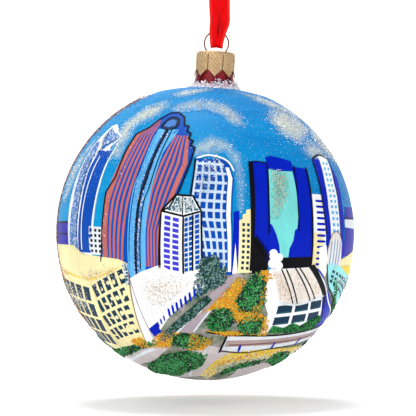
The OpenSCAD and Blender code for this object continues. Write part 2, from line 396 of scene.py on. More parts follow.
class Picture:
    # one painted thing on the ball: filled shapes in layers, and brushed lines laid over them

    def __init__(self, name, bottom=0):
        self.name = name
        self.bottom = bottom
        self.build = bmesh.new()
        self.materials = []
        self.lines = {}
        self.grains = []
        self.veils = []

    def slot(self, material):
        if material not in self.materials:
            self.materials.append(material)
        return self.materials.index(material)

    def lift(self, start, layer):
        return stack[start] + stack["coat"] * (self.bottom + layer)

    def fill(self, material, outline, layer=1, step=3.0):
        if sum(a[0] * b[1] - b[0] * a[1] for a, b in sidesOf(outline)) < 0:
            outline = outline[::-1]
        spots, faces = tessellate(outline, step)
        index = self.slot(material)
        top, base = [[self.build.verts.new(ballPoint(*p, lift)) for p in spots]
                     for lift in (self.lift("fill", layer), stack["under"])]
        edges = {}
        for a, b, c in faces:
            cross = ((spots[b][0] - spots[a][0]) * (spots[c][1] - spots[a][1])
                     - (spots[c][0] - spots[a][0]) * (spots[b][1] - spots[a][1]))
            if cross < 0:
                b, c = c, b
            edges.update({(a, b): True, (b, c): True, (c, a): True})
            for corners in ((top[a], top[b], top[c]), (base[c], base[b], base[a])):
                self.build.faces.new(corners).material_index = index
        for a, b in edges:
            if (b, a) not in edges:
                self.build.faces.new((top[b], top[a], base[a], base[b])).material_index = index

    def line(self, material, points, width, layer=2, closed=False, smooth=True):
        path = list(points) + ([points[0]] if closed else [])
        dense = []
        for i, (here, there) in enumerate(zip(path, path[1:])):
            count = max(2, math.ceil(math.dist(here, there) / stack["lineStep"]))
            for t in [k / count for k in range(count)]:
                straight = [a + (b - a) * t for a, b in zip(here, there)]
                dense.append(curvePoint(path, i, t) if smooth else straight)
        dense.append(list(path[-1]))
        run = [ballPoint(*p, self.lift("line", layer)) for p in dense]
        widths = [width * mm / 2] * len(run)
        if not closed:
            widths[0] *= stack["taper"]
            widths[-1] *= stack["taper"]
        self.lines.setdefault(material.name, (material, []))[1].append((run, widths))

    # facades: courses run from the foot up, each (latitude, left, right) for a level one, or else
    # (left longitude, left latitude, right longitude, right latitude)

    def spot(self, courses, s, t):
        full = [(c[1], c[0], c[2], c[0]) if len(c) == 3 else c for c in courses]
        at = max(0.0, min(0.999999, t)) * (len(full) - 1)
        low, high, share = full[int(at)], full[int(at) + 1], at - int(at)
        row = [a + (b - a) * share for a, b in zip(low, high)]
        return (row[0] + (row[2] - row[0]) * s, row[1] + (row[3] - row[1]) * s)

    def band(self, material, courses, left, right, foot=0.0, top=1.0, layer=2):
        corners = [i / (len(courses) - 1) for i in range(len(courses))]
        stops = sorted({foot, top} | {t for t in corners if foot < t < top})
        outline = [self.spot(courses, left, t) for t in stops]
        outline += [self.spot(courses, right, t) for t in reversed(stops)]
        self.fill(material, outline, layer)

    def panes(self, material, courses, across, up, left=0.0, right=1.0, foot=0.0, top=1.0, share=(0.6, 0.6),
              layer=3, skew=0.0):
        for i in range(across):
            for j in range(up):
                s0, s1 = [left + (right - left) * (i + 0.5 + half * share[0]) / across for half in (-0.5, 0.5)]
                t0, t1 = [foot + (top - foot) * (j + 0.5 + half * share[1]) / up for half in (-0.5, 0.5)]
                corners = ((s0, t0), (s1, t0), (s1 + skew, t1), (s0 + skew, t1))
                self.fill(material, [self.spot(courses, s, t) for s, t in corners], layer, 6.0)

    def upright(self, material, courses, s, width, foot=0.0, top=1.0, layer=3):
        self.line(material, [self.spot(courses, s, foot + (top - foot) * k / 6) for k in range(7)], width,
                  layer)

    def ledge(self, material, courses, t, width, left=0.0, right=1.0, layer=3):
        self.line(material, [self.spot(courses, left + (right - left) * k / 3, t) for k in range(4)], width,
                  layer)

    def veil(self, outline, layer, soft):
        # a cloud's own paint, thinned out to the sky's colour towards its edge
        spots, faces = tessellate(outline, 1.6)
        mesh = bpy.data.meshes.new("veil")
        mesh.from_pydata([ballPoint(*p, self.lift("fill", layer)) for p in spots], [], faces)
        thin = mesh.attributes.new("veil", "FLOAT", "POINT")
        thin.data.foreach_set("value", [min(1.0, edgeDistance(p, outline) / soft) for p in spots])
        mesh.materials.append(veilMaterial())
        self.veils.append(mesh)

    def glitter(self, material, outline, density, size, seed, layer=2, soft=2.0):
        self.grains.append((material, outline, density, size, seed, self.lift("grains", layer), soft))

    def finish(self):
        mesh = meshOf(self.name, self.build, False)
        for material in self.materials:
            mesh.materials.append(material)
        meshes = [mesh] + self.veils
        meshes += [brushLines(material, runs) for material, runs in self.lines.values()]
        meshes += [scatterGrains(*grain) for grain in self.grains]
        piece = placed(self.name, joinMeshes(self.name, meshes))
        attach(piece, "ball")


def joinMeshes(name, meshes):
    whole = bmesh.new()
    materials = []
    for label in ("tint", "veil"):
        whole.verts.layers.float.new(label)
    for mesh in meshes:
        if not len(mesh.vertices):
            continue
        moved = {}
        for i, material in enumerate(mesh.materials):
            if material not in materials:
                materials.append(material)
            moved[i] = materials.index(material)
        firstFace = len(whole.faces)
        whole.from_mesh(mesh)
        whole.faces.ensure_lookup_table()
        for face in whole.faces[firstFace:]:
            face.material_index = moved.get(face.material_index, 0)
    for mesh in meshes:
        bpy.data.meshes.remove(mesh)
    result = meshOf(name, whole, False)
    for material in materials:
        result.materials.append(material)
    return result


# node trees that make the brush marks and the loose grains


def newTree(name, inputs):
    tree = bpy.data.node_groups.new(name, "GeometryNodeTree")
    tree.interface.new_socket("Geometry", in_out="INPUT", socket_type="NodeSocketGeometry")
    for label, kind in inputs.items():
        tree.interface.new_socket(label, in_out="INPUT", socket_type="NodeSocket" + kind)
    tree.interface.new_socket("Geometry", in_out="OUTPUT", socket_type="NodeSocketGeometry")
    return tree, tree.nodes.new("NodeGroupInput").outputs


def endTree(tree, geometry, material):
    coated = addNode(tree, "GeometryNodeSetMaterial", {"Geometry": geometry, "Material": material})
    addNode(tree, "NodeGroupOutput", {"Geometry": coated.outputs["Geometry"]})
    return tree


def lineTree():
    # sweeps a flat rounded brush mark along each edge path, face up on the ball
    tree, given = newTree("brushLine", {"Flatness": "Float", "Sides": "Int", "Middle": "Vector",
                                        "Material": "Material"})
    width = addNode(tree, "GeometryNodeInputNamedAttribute", {"Name": "lineWidth"}).outputs["Attribute"]
    position = addNode(tree, "GeometryNodeInputPosition", {}).outputs[0]
    outward = addNode(tree, "ShaderNodeVectorMath", {0: position, 1: given["Middle"]},
                      operation="SUBTRACT").outputs[0]
    path = addNode(tree, "GeometryNodeMeshToCurve", {"Mesh": given["Geometry"]}).outputs["Curve"]
    path = addNode(tree, "GeometryNodeSetCurveNormal", {"Curve": path, "Normal": outward},
                   mode="FREE").outputs["Curve"]
    path = addNode(tree, "GeometryNodeSetCurveRadius", {"Curve": path, "Radius": width}).outputs["Curve"]
    circle = addNode(tree, "GeometryNodeCurvePrimitiveCircle", {"Resolution": given["Sides"], "Radius": 1.0})
    scale = addNode(tree, "ShaderNodeCombineXYZ", {"X": given["Flatness"], "Y": 1.0, "Z": 1.0}).outputs[0]
    flat = addNode(tree, "GeometryNodeTransform", {"Geometry": circle.outputs["Curve"], "Scale": scale})
    sweep = addNode(tree, "GeometryNodeCurveToMesh", {"Curve": path,
                                                      "Profile Curve": flat.outputs["Geometry"],
                                                      "Fill Caps": True})
    if "Scale" in sweep.inputs:
        feed(tree, sweep.inputs["Scale"], width)
    return endTree(tree, sweep.outputs["Mesh"], given["Material"])


def scatterInstances(tree, given, points, grain, turn, scale, tone):
    # grains set on points, each keeping its own tint once they are made real
    place = addNode(tree, "GeometryNodeInstanceOnPoints",
                    {"Points": points, "Instance": grain.outputs["Mesh"], "Rotation": turn.outputs[0],
                     "Scale": scale})
    store = addNode(tree, "GeometryNodeStoreNamedAttribute",
                    {"Geometry": place.outputs["Instances"], "Name": "tint", "Value": tone.outputs[1]},
                    domain="INSTANCE")
    real = addNode(tree, "GeometryNodeRealizeInstances", {"Geometry": store.outputs["Geometry"]})
    return endTree(tree, real.outputs["Geometry"], given["Material"])


wholeTurn = (math.tau, math.tau, math.tau)


def grainTree():
    # loose grains over a surface, thicker where its "cover" is high, each with its own turn, size and tint
    tree, given = newTree("looseGrains", {"Density": "Float", "Size": "Float", "Seed": "Int",
                                          "Material": "Material"})
    cover = addNode(tree, "GeometryNodeInputNamedAttribute", {"Name": "cover"}).outputs["Attribute"]
    amount = addNode(tree, "ShaderNodeMath", {0: given["Density"], 1: cover}, operation="MULTIPLY").outputs[0]
    scatter = addNode(tree, "GeometryNodeDistributePointsOnFaces",
                      {"Mesh": given["Geometry"], "Density": amount, "Seed": given["Seed"]})
    grain = addNode(tree, "GeometryNodeMeshCylinder", {"Vertices": 5, "Radius": 0.5, "Depth": 0.45})
    turn = addNode(tree, "FunctionNodeRandomValue", {1: wholeTurn}, data_type="FLOAT_VECTOR")
    size = addNode(tree, "FunctionNodeRandomValue", {2: 0.6, 3: 1.35}).outputs[1]
    sized = addNode(tree, "ShaderNodeMath", {0: given["Size"], 1: size}, operation="MULTIPLY").outputs[0]
    tone = addNode(tree, "FunctionNodeRandomValue", {})
    return scatterInstances(tree, given, scatter.outputs["Points"], grain, turn, sized, tone)


def throughTree(mesh, tree, values):
    # runs a tree over a mesh and hands back plain mesh data
    holder = placed("working", mesh)
    modifier = holder.modifiers.new("made", "NODES")
    modifier.node_group = tree
    for item in tree.interface.items_tree:
        if item.in_out == "INPUT" and item.name in values:
            modifier[item.identifier] = values[item.name]
    bpy.context.view_layer.update()
    shaped = holder.evaluated_get(bpy.context.evaluated_depsgraph_get())
    result = bpy.data.meshes.new_from_object(shaped)
    holder.modifiers.remove(modifier)
    bpy.data.objects.remove(holder)
    bpy.data.meshes.remove(mesh)
    return result


brush = {"tree": lineTree(), "flatness": 0.22, "sides": 8}
grainBed = {"tree": grainTree(), "step": 2.0, "edge": 0.08}


def brushLines(material, runs):
    points, edges, widths = [], [], []
    for run, thick in runs:
        first = len(points)
        points += run
        widths += thick
        edges += [(first + i, first + i + 1) for i in range(len(run) - 1)]
    mesh = bpy.data.meshes.new("paths")
    mesh.from_pydata(points, edges, [])
    mesh.attributes.new("lineWidth", "FLOAT", "POINT").data.foreach_set("value", widths)
    return throughTree(mesh, brush["tree"], {"Flatness": brush["flatness"], "Sides": brush["sides"],
                                             "Middle": ballMiddle, "Material": material})


def scatterGrains(material, outline, density, size, seed, lift, soft):
    # density in grains to the square mm, size in mm, and soft is how many degrees the edge thins out over
    spots, faces = tessellate(outline, grainBed["step"])
    mesh = bpy.data.meshes.new("bed")
    mesh.from_pydata([ballPoint(*p, lift) for p in spots], [], faces)
    cover = [min(1.0, grainBed["edge"] + edgeDistance(p, outline) / soft) for p in spots]
    mesh.attributes.new("cover", "FLOAT", "POINT").data.foreach_set("value", cover)
    return throughTree(mesh, grainBed["tree"], {"Density": density * 1e6, "Size": size * mm, "Seed": seed,
                                                "Material": material})


print("tools ready")

# ribbon: one strap, out of the knot, down through the ring and up to the knot again

ribbonPlan = {"thickness": 0.7 * mm, "width": 7 * mm, "length": 96 * mm, "weave": 260, "columns": 33,
              "parts": 6,
              # the two after droop set where painted shade in the strap's fold begins below the knot, and over
              # how many mm it deepens
              "lowest": (0, 0, -25.4, 1.9, 4.42, 0, 0.5), "droop": 0.12, "shadeFrom": 19.5, "shadeOver": 4.5,
              "seed": 3,
              # creases and ripples: height in mm, waves across, drift along; narrow is a half width in mm
              "crease": (0.16, 3.4, 0.05), "ripple": (0.12, 2.2, 0.13), "narrow": 2.6, "deeper": 2.2,
              "fullHang": 3.0}
ribbonFront = [  # place on the strap's middle in mm, and its width there
    (1.5, -9.5, -3.5, 7), (1.3, -9.3, -0.5, 7), (1, -8.4, 2.5, 7), (0.8, -6.8, 5, 7), (0.5, -4.6, 6.3, 6),
    (0.2, -2.4, 6, 5), (0, -1, 4.4, 4), (0, -0.7, 2.4, 4), (0, -1.2, 0.4, 4), (0, -2.2, -1.6, 5.5),
    (0, -3, -4.2, 7), (0, -3.5, -7.5, 7), (0, -3.6, -11, 7), (0, -3.4, -14.5, 7), (0, -2.9, -18, 7),
    (0, -2.3, -21, 6.7), (0, -1.8, -23.4, 6), (0, -1.4, -24.6, 5), (0, -0.8, -25.2, 4)]
ribbonGathered = {  # by stop: half width, how far the edges hang, sideways shift, how far the middle sags
    13: (3.5, 0, 0.2, 0), 14: (3.45, 0, 0.5, 0), 15: (3.35, 0.2, 0.7, 0.3), 16: (2.9, 0.9, 0.25, 0.85),
    17: (2.3, 3.2, 0.05, 0.9), 18: (2.1, 4.3, 0.1, 0.93)}
# dark is the share of painted shade along the middle of each knot turn
knotPlan = {"around": 72, "across": 13, "height": 2.6, "dark": 0.4,
            # each turn's tilt, reach along and across, rise and width
            "turns": [(16, 3.35, 3.3, 0, 2.3), (-24, 3.2, 3.15, 0.15, 2.0)]}


def satin():
    finish = Finish("redSatin")
    across, foldShade = finish.attribute("across"), finish.attribute("foldShade")
    flat = finish.place(origin=(0, 0, 0))
    weave = finish.add("ShaderNodeTexWave", {"Vector": flat, "Scale": ribbonPlan["weave"], "Distortion": 0.6},
                       bands_direction="Z").outputs["Fac"]
    crease = finish.noise(finish.place((1500, 1500, 60), origin=(0, 0, 0)), 1.0, 3.0)
    # painted sheen and shade: the red runs lighter and darker with the crease streaks that also give the
    # relief
    base = finish.ramp(crease, [(0.3, colour(176, 0, 4)), (0.55, colour(230, 0, 6)),
                                (0.75, colour(248, 6, 10))])
    # painted sheen: the strap's edges are lightened towards a pale red
    rim = finish.ramp(across, [(0.0, grey(0)), (0.72, grey(0)), (0.86, grey(0.5)), (1.0, grey(0.35))])
    # painted shade: the strap's middle is darkened where it folds, most at the bottom of the loop
    foldShadeMask = finish.ramp(across, [(0.0, grey(1)), (0.1, grey(0.85)), (0.24, grey(0))])
    tint = finish.mix(rim, base, colour(250, 60, 50))
    tint = finish.mix(finish.reckon("MULTIPLY", foldShadeMask, foldShade), tint, colour(96, 0, 4))
    finish.give({"Base Color": tint, "Roughness": 0.5, "Specular IOR Level": 0.06, "Sheen Weight": 0.03,
                 "Sheen Tint": (1, 0.3, 0.25)})
    finish.bump(finish.reckon("ADD", weave, crease), 0.3, 0.05 * mm)
    return finish.material


def strapMesh(name, grid, thickness, foldShades, closed=False):
    # a sheet through a grid of points, given a thickness, its open edges closed
    rows, columns = len(grid), len(grid[0])
    build = bmesh.new()
    # each point keeps its place across the strap and its share of painted shade in the fold
    across = build.verts.layers.float.new("across")
    foldShade = build.verts.layers.float.new("foldShade")
    sides = []
    for side in (1, -1):
        sheet = []
        for i in range(rows):
            after = (i + 1) % rows if closed else min(i + 1, rows - 1)
            before = i - 1 if closed else max(i - 1, 0)
            line = []
            for j in range(columns):
                along = grid[after][j] - grid[before][j]
                over = grid[i][min(j + 1, columns - 1)] - grid[i][max(j - 1, 0)]
                vert = build.verts.new(grid[i][j] + along.cross(over).normalized() * side * thickness / 2)
                vert[across] = abs(2 * j / (columns - 1) - 1)
                vert[foldShade] = foldShades[i]
                line.append(vert)
            sheet.append(line)
        sides.append(sheet)
    top, low = sides
    for i in range(rows if closed else rows - 1):
        n = (i + 1) % rows
        for j in range(columns - 1):
            build.faces.new((top[i][j], top[n][j], top[n][j + 1], top[i][j + 1]))
            build.faces.new((low[i][j], low[i][j + 1], low[n][j + 1], low[n][j]))
        build.faces.new((top[i][0], low[i][0], low[n][0], top[n][0]))
        build.faces.new((top[i][-1], top[n][-1], low[n][-1], low[i][-1]))
    if not closed:
        for j in range(columns - 1):
            build.faces.new((top[0][j], top[0][j + 1], low[0][j + 1], low[0][j]))
            build.faces.new((top[-1][j], low[-1][j], low[-1][j + 1], top[-1][j + 1]))
    bmesh.ops.recalc_face_normals(build, faces=build.faces)
    return meshOf(name, build)


def strapRun(plan):
    # both halves of the strap; a stop is its place, half width, hang, shift and sag
    stops = []
    for i, (x, y, z, width) in enumerate(ribbonFront):
        stops.append((x, y, z, *ribbonGathered.get(i, (width / 2, 0, 0, 0))))
    stops += [plan["lowest"]] + [(-x, -y, z, *rest) for x, y, z, *rest in reversed(stops)]
    shares = [k / plan["parts"] for k in range(plan["parts"])]
    run = [curvePoint(stops, i, t) for i in range(len(stops) - 1) for t in shares]
    return run + [list(stops[-1])]


def makeStrap(plan, run):
    # shallow creases along the strap, deeper where it is drawn narrow
    crease, ripple = plan["crease"], plan["ripple"]
    phase = random.Random(plan["seed"]).uniform(0, 6)
    columns = plan["columns"]
    grid, foldShades = [], []
    for i, (x, y, z, half, hang, shift, sag) in enumerate(run):
        before, after = run[max(i - 1, 0)], run[min(i + 1, len(run) - 1)]
        along = (Vector(after[:3]) - Vector(before[:3])).normalized()
        side = (Vector((1, 0, 0)) - along * along.x).normalized()
        face = along.cross(side)
        gathered = min(1.0, hang / plan["fullHang"])
        line = []
        for j in range(columns):
            u = 2 * j / (columns - 1) - 1
            u = math.copysign(abs(u) ** (1 + gathered), u)
            wave = crease[0] * math.cos(crease[1] * math.pi * u + phase + crease[2] * i) * (1 - abs(u))
            wave += ripple[0] * math.cos(ripple[1] * u + ripple[2] * i)
            if half < plan["narrow"] and hang == 0:
                wave *= plan["deeper"]
            drop = -hang * (sag + (1 - sag) * abs(u) ** plan["droop"])
            spot = Vector((x + shift, y, z + drop)) + side * half * u + face * wave * (1 - gathered)
            line.append(spot * mm)
        grid.append(line)
        # painted shade in the fold, deeper towards the bottom of the loop
        foldShades.append(min(1.0, max(0.0, (-plan["shadeFrom"] - z) / plan["shadeOver"])))
    return strapMesh("satinRibbon", grid, plan["thickness"] / 2, foldShades)


def makeKnot(plan, thickness):
    # the knot: the strap's own two turns round the strands, drawn tight
    whole = bmesh.new()
    for tilt, along, over, rise, wide in plan["turns"]:
        turn = math.radians(tilt)
        loop = []
        for k in range(plan["around"]):
            a = math.tau * k / plan["around"]
            line = []
            for j in range(plan["across"]):
                u = 2 * j / (plan["across"] - 1) - 1
                swell = 1 - 0.32 * u * u + 0.02 * math.cos(5 * a + 3 * u)
                x, z = along * swell * math.cos(a), wide * 0.62 * u + 0.15 * math.sin(3 * a)
                spot = Vector((x * math.cos(turn) + z * math.sin(turn), over * swell * math.sin(a),
                               -x * math.sin(turn) + z * math.cos(turn) + plan["height"] + rise))
                line.append(spot * mm)
            loop.append(line)
        band = strapMesh("turn", loop, thickness / 2, [plan["dark"]] * plan["around"], True)
        whole.from_mesh(band)
        bpy.data.meshes.remove(band)
    return meshOf("ribbonKnot", whole)


def makeRibbon(plan):
    run = strapRun(plan)
    ribbon = placed("satinRibbon", makeStrap(plan, run))
    knot = placed("ribbonKnot", makeKnot(knotPlan, plan["thickness"]))
    red = satin()
    for piece in (ribbon, knot):
        piece.data.materials.append(red)
    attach(ribbon, "ribbon")
    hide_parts("ribbon")
    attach(knot, "ribbon")
    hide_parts("ribbon_knot")


makeRibbon(ribbonPlan)
print("ribbon ready")

# the blown ball: sky above, ground below, red lacquer on the neck, silvered inside

ballPlan = {"wall": 0.8 * mm, "segments": 192, "groundLatitude": -11, "foldLatitude": 62, "courseStep": 1.2}
coats = {"sky": 0, "ground": 1, "lacquer": 2, "silver": 3}
cloudTones = [(0.34, colour(150, 166, 164)), (0.48, colour(196, 204, 194)), (0.66, colour(232, 228, 206))]


def veilMaterial():
    if "cloudVeil" not in paints:
        paints["cloudVeil"] = skyCoat("cloudVeil", True)
    return paints["cloudVeil"]


def skyCoat(name, clouded):
    finish = Finish(name)
    place = finish.place()
    strokes = finish.noise(finish.place((60, 60, 260), (0.3, 0.2, 0)), 1.0, 5.0, 0.7)
    speckle = finish.noise(place, 1500, 2.0, 0.7)
    split = finish.add("ShaderNodeSeparateXYZ", {0: place}).outputs
    # deeper blue towards the upper right
    slope = finish.reckon("ADD", finish.reckon("MULTIPLY", split["X"], 9.0),
                          finish.reckon("MULTIPLY", split["Z"], 10.0))
    depth = finish.ramp(finish.reckon("ADD", slope, 0.25),
                        [(0.0, colour(16, 154, 208)), (0.45, colour(0, 138, 200)),
                         (0.9, colour(0, 114, 186))])
    wiped = finish.ramp(strokes, [(0.3, colour(0, 112, 186)), (0.6, colour(4, 142, 202)),
                                  (0.8, colour(30, 152, 208))])
    tint = finish.mix(0.42, depth, wiped)
    tint = finish.mix(finish.ramp(speckle, [(0.62, grey(0)), (0.72, grey(0.36))]), tint, colour(90, 184, 226))
    if clouded:
        billow = finish.noise(finish.place((1, 1, 1.6)), 190, 4.0, 0.65)
        cover = finish.reckon("MULTIPLY", finish.attribute("veil"),
                              finish.ramp(billow, [(0.3, grey(0.15)), (0.55, grey(1))]))
        cloud = finish.ramp(finish.noise(place, 2100, 2.0, 0.7), cloudTones)
        tint = finish.mix(finish.reckon("MULTIPLY", cover, 0.92), tint, cloud)
    finish.give({"Base Color": tint, "Roughness": 0.45, "Specular IOR Level": 0.05})
    finish.bump(strokes, 0.3, 0.05 * mm)
    return finish.material


def groundCoat():
    finish = Finish("groundCoat")
    blots = finish.noise(finish.place(), 110, 3.0)
    dabs = finish.noise(finish.place((500, 500, 200)), 1.0, 4.0)
    base = finish.ramp(blots, [(0.3, colour(40, 84, 62)), (0.42, colour(96, 120, 84)),
                               (0.52, colour(172, 158, 160)),
                               (0.68, colour(60, 116, 66))])
    dabbed = finish.ramp(dabs, [(0.35, colour(40, 70, 50)), (0.65, colour(200, 190, 185))])
    finish.give({"Base Color": finish.mix(0.35, base, dabbed), "Roughness": 0.5, "Specular IOR Level": 0.05})
    finish.bump(dabs, 0.4, 0.06 * mm)
    return finish.material


def redLacquer():
    finish = Finish("redLacquer")
    wear = finish.noise(finish.place(), 700, 4.0, 0.7)
    runs = finish.noise(finish.place((350, 350, 60)), 1.0, 3.0)
    worn = finish.ramp(wear, [(0.35, colour(88, 0, 12)), (0.55, colour(136, 0, 18)),
                              (0.7, colour(172, 14, 34))])
    finish.give({"Base Color": finish.mix(finish.reckon("MULTIPLY", runs, 0.3), worn, colour(70, 0, 12)),
                 "Roughness": finish.ramp(wear, [(0.3, grey(0.2)), (0.7, grey(0.42))]),
                 "Metallic": 0.3, "Specular IOR Level": 0.3})
    finish.bump(wear, 0.2, 0.04 * mm)
    return finish.material


def silvering():
    finish = Finish("silveredInside")
    haze = finish.noise(finish.place(), 240, 4.0)
    finish.give({"Base Color": finish.ramp(haze, [(0.3, colour(150, 150, 158)),
                                                  (0.7, colour(214, 214, 220))]),
                 "Roughness": finish.ramp(haze, [(0.3, grey(0.12)), (0.7, grey(0.35))]), "Metallic": 0.9})
    return finish.material


def flareHeight(radius):
    across = neck["radius"] + neck["flare"] - radius
    return neck["flareTop"] - math.sqrt(max(0.0, neck["flare"] ** 2 - across ** 2))


def shoulderHeight(radius, wall=0.0):
    return shoulderMiddle + math.sqrt((shoulder["radius"] - wall) ** 2 - radius ** 2)


def ballOutside(plan):
    # (radius, height above the middle), from the foot up over the shoulder and the flare to the rounded rim
    profile = []
    lat = -90 + plan["courseStep"]
    while lat <= plan["foldLatitude"]:
        profile.append((ballRadius * math.cos(math.radians(lat)), ballRadius * math.sin(math.radians(lat))))
        lat = -90 + plan["courseStep"] * (len(profile) + 1)
    meet = profile[-1][0]
    tries = [r * 0.1 * mm for r in range(70, 130)]
    flareFoot = next(radius for radius in tries if flareHeight(radius) < shoulderHeight(radius))
    steps = 18
    for i in range(1, steps + 1):
        radius = meet + (flareFoot - meet) * i / steps
        profile.append((radius, min(shoulderHeight(radius), math.sqrt(ballRadius ** 2 - radius ** 2))))
    neckStart = len(profile) - 1
    for i in range(1, 11):
        radius = flareFoot + (neck["radius"] - flareFoot) * i / 10
        profile.append((radius, flareHeight(radius)))
    rim = neck["rimRound"]
    profile.append((neck["radius"], neck["rimHeight"] - rim))
    for i in range(1, 7):
        a = math.radians(13.5 * i)
        radius = neck["radius"] - rim * (1 - math.cos(a))
        profile.append((max(radius, neck["bore"]), neck["rimHeight"] - rim * (1 - math.sin(a))))
    return profile, neckStart


def ballInside(wall):
    # from the neck's bore down the inside of the shoulder and the ball
    inner = ballRadius - wall
    profile = [(neck["bore"], shoulderHeight(neck["bore"], wall))]
    for i in range(1, 60):
        radius = neck["bore"] + (inner - neck["bore"]) * math.sin(math.radians(1.5 * i))
        profile.append((radius, min(shoulderHeight(radius, wall),
                                    math.sqrt(max(0, inner ** 2 - radius ** 2)))))
    for i in range(59):
        lat = math.radians(-1.5 * i)
        profile.append((inner * math.cos(lat), inner * math.sin(lat)))
    return profile


def makeBall(plan):
    outside, neckStart = ballOutside(plan)
    profile = outside + ballInside(plan["wall"])
    build = bmesh.new()
    count = plan["segments"]
    turns = [math.tau * k / count for k in range(count)]
    rings = [[build.verts.new(ballMiddle + Vector((radius * math.sin(a), -radius * math.cos(a), height)))
              for a in turns] for radius, height in profile]
    bottom, insideBottom = [build.verts.new(ballMiddle - Vector((0, 0, radius)))
                            for radius in (ballRadius, ballRadius - plan["wall"])]
    groundTop = ballRadius * math.sin(math.radians(plan["groundLatitude"]))
    for i, (low, high) in enumerate(zip(rings, rings[1:])):
        coat = "ground" if profile[i + 1][1] < groundTop else "sky"
        if i >= neckStart:
            coat = "silver" if i >= len(outside) - 1 else "lacquer"
        for k in range(count):
            n = (k + 1) % count
            build.faces.new((low[k], low[n], high[n], high[k])).material_index = coats[coat]
    for k in range(count):
        n = (k + 1) % count
        build.faces.new((bottom, rings[0][n], rings[0][k])).material_index = coats["ground"]
        build.faces.new((insideBottom, rings[-1][k], rings[-1][n])).material_index = coats["silver"]
    ball = placed("glassBall", meshOf("glassBall", build))
    for material in (skyCoat("skyCoat", False), groundCoat(), redLacquer(), silvering()):
        ball.data.materials.append(material)
    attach(ball, "ball")
    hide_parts("glass_ball")


makeBall(ballPlan)
print("ball ready")

# the painted town, in degrees on the ball: (longitude, latitude)

paintTones = {
    "ink": (12, 12, 18), "white": (242, 245, 248), "chalk": (222, 228, 234), "frost": (196, 214, 236),
    "cream": (236, 226, 172), "salmon": (188, 104, 98), "deepBlue": (6, 74, 172), "royal": (0, 30, 178),
    "paleBlue": (92, 176, 232), "powder": (110, 160, 212), "violet": (48, 40, 165), "iris": (66, 60, 200),
    "navy": (26, 52, 88), "slate": (22, 52, 76), "teal": (24, 92, 104), "turquoise": (118, 214, 210),
    "aqua": (150, 226, 226), "ivory": (230, 223, 216), "pebble": (204, 194, 196), "leaf": (28, 116, 56),
    "darkLeaf": (8, 64, 40), "yellow": (240, 205, 60), "orange": (238, 160, 40), "ochre": (214, 170, 50),
    "taupe": (178, 156, 152), "lilac": (168, 156, 164), "brick": (132, 100, 98), "steel": (62, 118, 190),
}


def tone(name, glitter=0.0):
    # glitter is the share of the paint that its specks take, from 0 to 1
    return paint(name + ("Glitter" if glitter else ""), colour(*paintTones[name]), glitter)


grainPlan = {  # tones, then metal, roughness and frost where they differ from plain glitter
    "silverGlitter": ([(226, 230, 232), (176, 184, 186), (236, 226, 204), (130, 142, 148),
                       (248, 250, 252)],),
    "sageGlitter": ([(112, 150, 138), (160, 196, 176), (84, 132, 132), (214, 206, 170)],),
    "beigeGlitter": ([(212, 184, 144), (228, 206, 174), (190, 156, 118), (236, 222, 200)], 0.15, 0.4, 0.05),
    "blueGlitter": ([(60, 110, 180), (130, 170, 215), (30, 70, 150), (196, 212, 228), (20, 130, 140)],),
    "leafDabs": ([(8, 120, 40), (0, 84, 30), (28, 150, 44), (6, 52, 34), (4, 40, 24), (60, 152, 84)],
                 0.0, 0.5, 0.03),
    "darkLeafDabs": ([(14, 80, 58), (8, 50, 46), (30, 98, 78), (20, 62, 80), (110, 150, 144)],
                     0.0, 0.45, 0.05),
    "flowerDabs": ([(242, 182, 34), (250, 212, 66), (230, 140, 34), (196, 160, 50)], 0.0, 0.5, 0.02),
    "brightDabs": ([(10, 160, 60), (40, 184, 74), (4, 120, 60), (90, 190, 120)], 0.0, 0.5, 0.03),
    "rustGlitter": ([(130, 50, 50), (166, 96, 88), (96, 40, 48), (196, 150, 140)], 0.3, 0.35, 0.1),
}
(silver, sageGlitter, beigeGlitter, blueGlitter, leafDabs, darkDabs, flowerDabs, brightDabs, rustGlitter) = [
    grainMaterial(name, *look) for name, look in grainPlan.items()]
ink, white, cream = tone("ink"), tone("white"), tone("cream")


def paintClouds():
    art = Picture("glitterClouds", 0)
    clouds = [
        [(-42, 64), (-32, 71), (-14, 75), (-2, 74), (-3, 70), (-14, 66), (-28, 61)],
        [(-28, 52), (-22, 58), (-12, 61), (0, 61), (10, 58), (17, 52), (18, 45), (11, 44), (5, 50), (-4, 53),
         (-12, 52), (-20, 50)],
        [(-54, 44), (-48, 55), (-36, 60), (-28, 55), (-33, 47), (-40, 41), (-40, 26), (-48, 26)],
        [(-80, 22), (-72, 34), (-66, 38), (-67, 26), (-68, 12), (-76, 6)],
        [(32, 70), (50, 69), (72, 60), (82, 52), (68, 50), (52, 56), (36, 62)],
        [(33, 50), (42, 57), (54, 59), (66, 54), (70, 46), (58, 41), (48, 37), (38, 41)],
        [(62, 42), (74, 50), (88, 42), (84, 30), (70, 32)],
        [(46, 34), (54, 42), (68, 40), (70, 33), (54, 29)],
        [(-9, 28), (-8, 35), (0, 40), (8, 38), (14, 31), (15, 18), (14, 8), (11, 8), (10, 26), (6, 31)],
        [(96, 60), (120, 66), (150, 62), (140, 52), (112, 50)],
        [(170, 52), (190, 60), (214, 56), (206, 46), (182, 44)],
        [(232, 62), (256, 66), (276, 58), (262, 50), (240, 52)],
    ]
    densities = [7, 9, 5, 4, 6, 8, 7, 4, 3.5, 6, 6, 6]
    for i, (cloud, dense) in enumerate(zip(clouds, densities)):
        art.veil(cloud, 1, 6)
        art.glitter(silver, cloud, dense * 0.35, 0.3, 11 + i, 2, 8)
        art.glitter(silver, grown(cloud, 1.15), dense * 0.5, 0.2, 31 + i, 2, 4)
    art.finish()


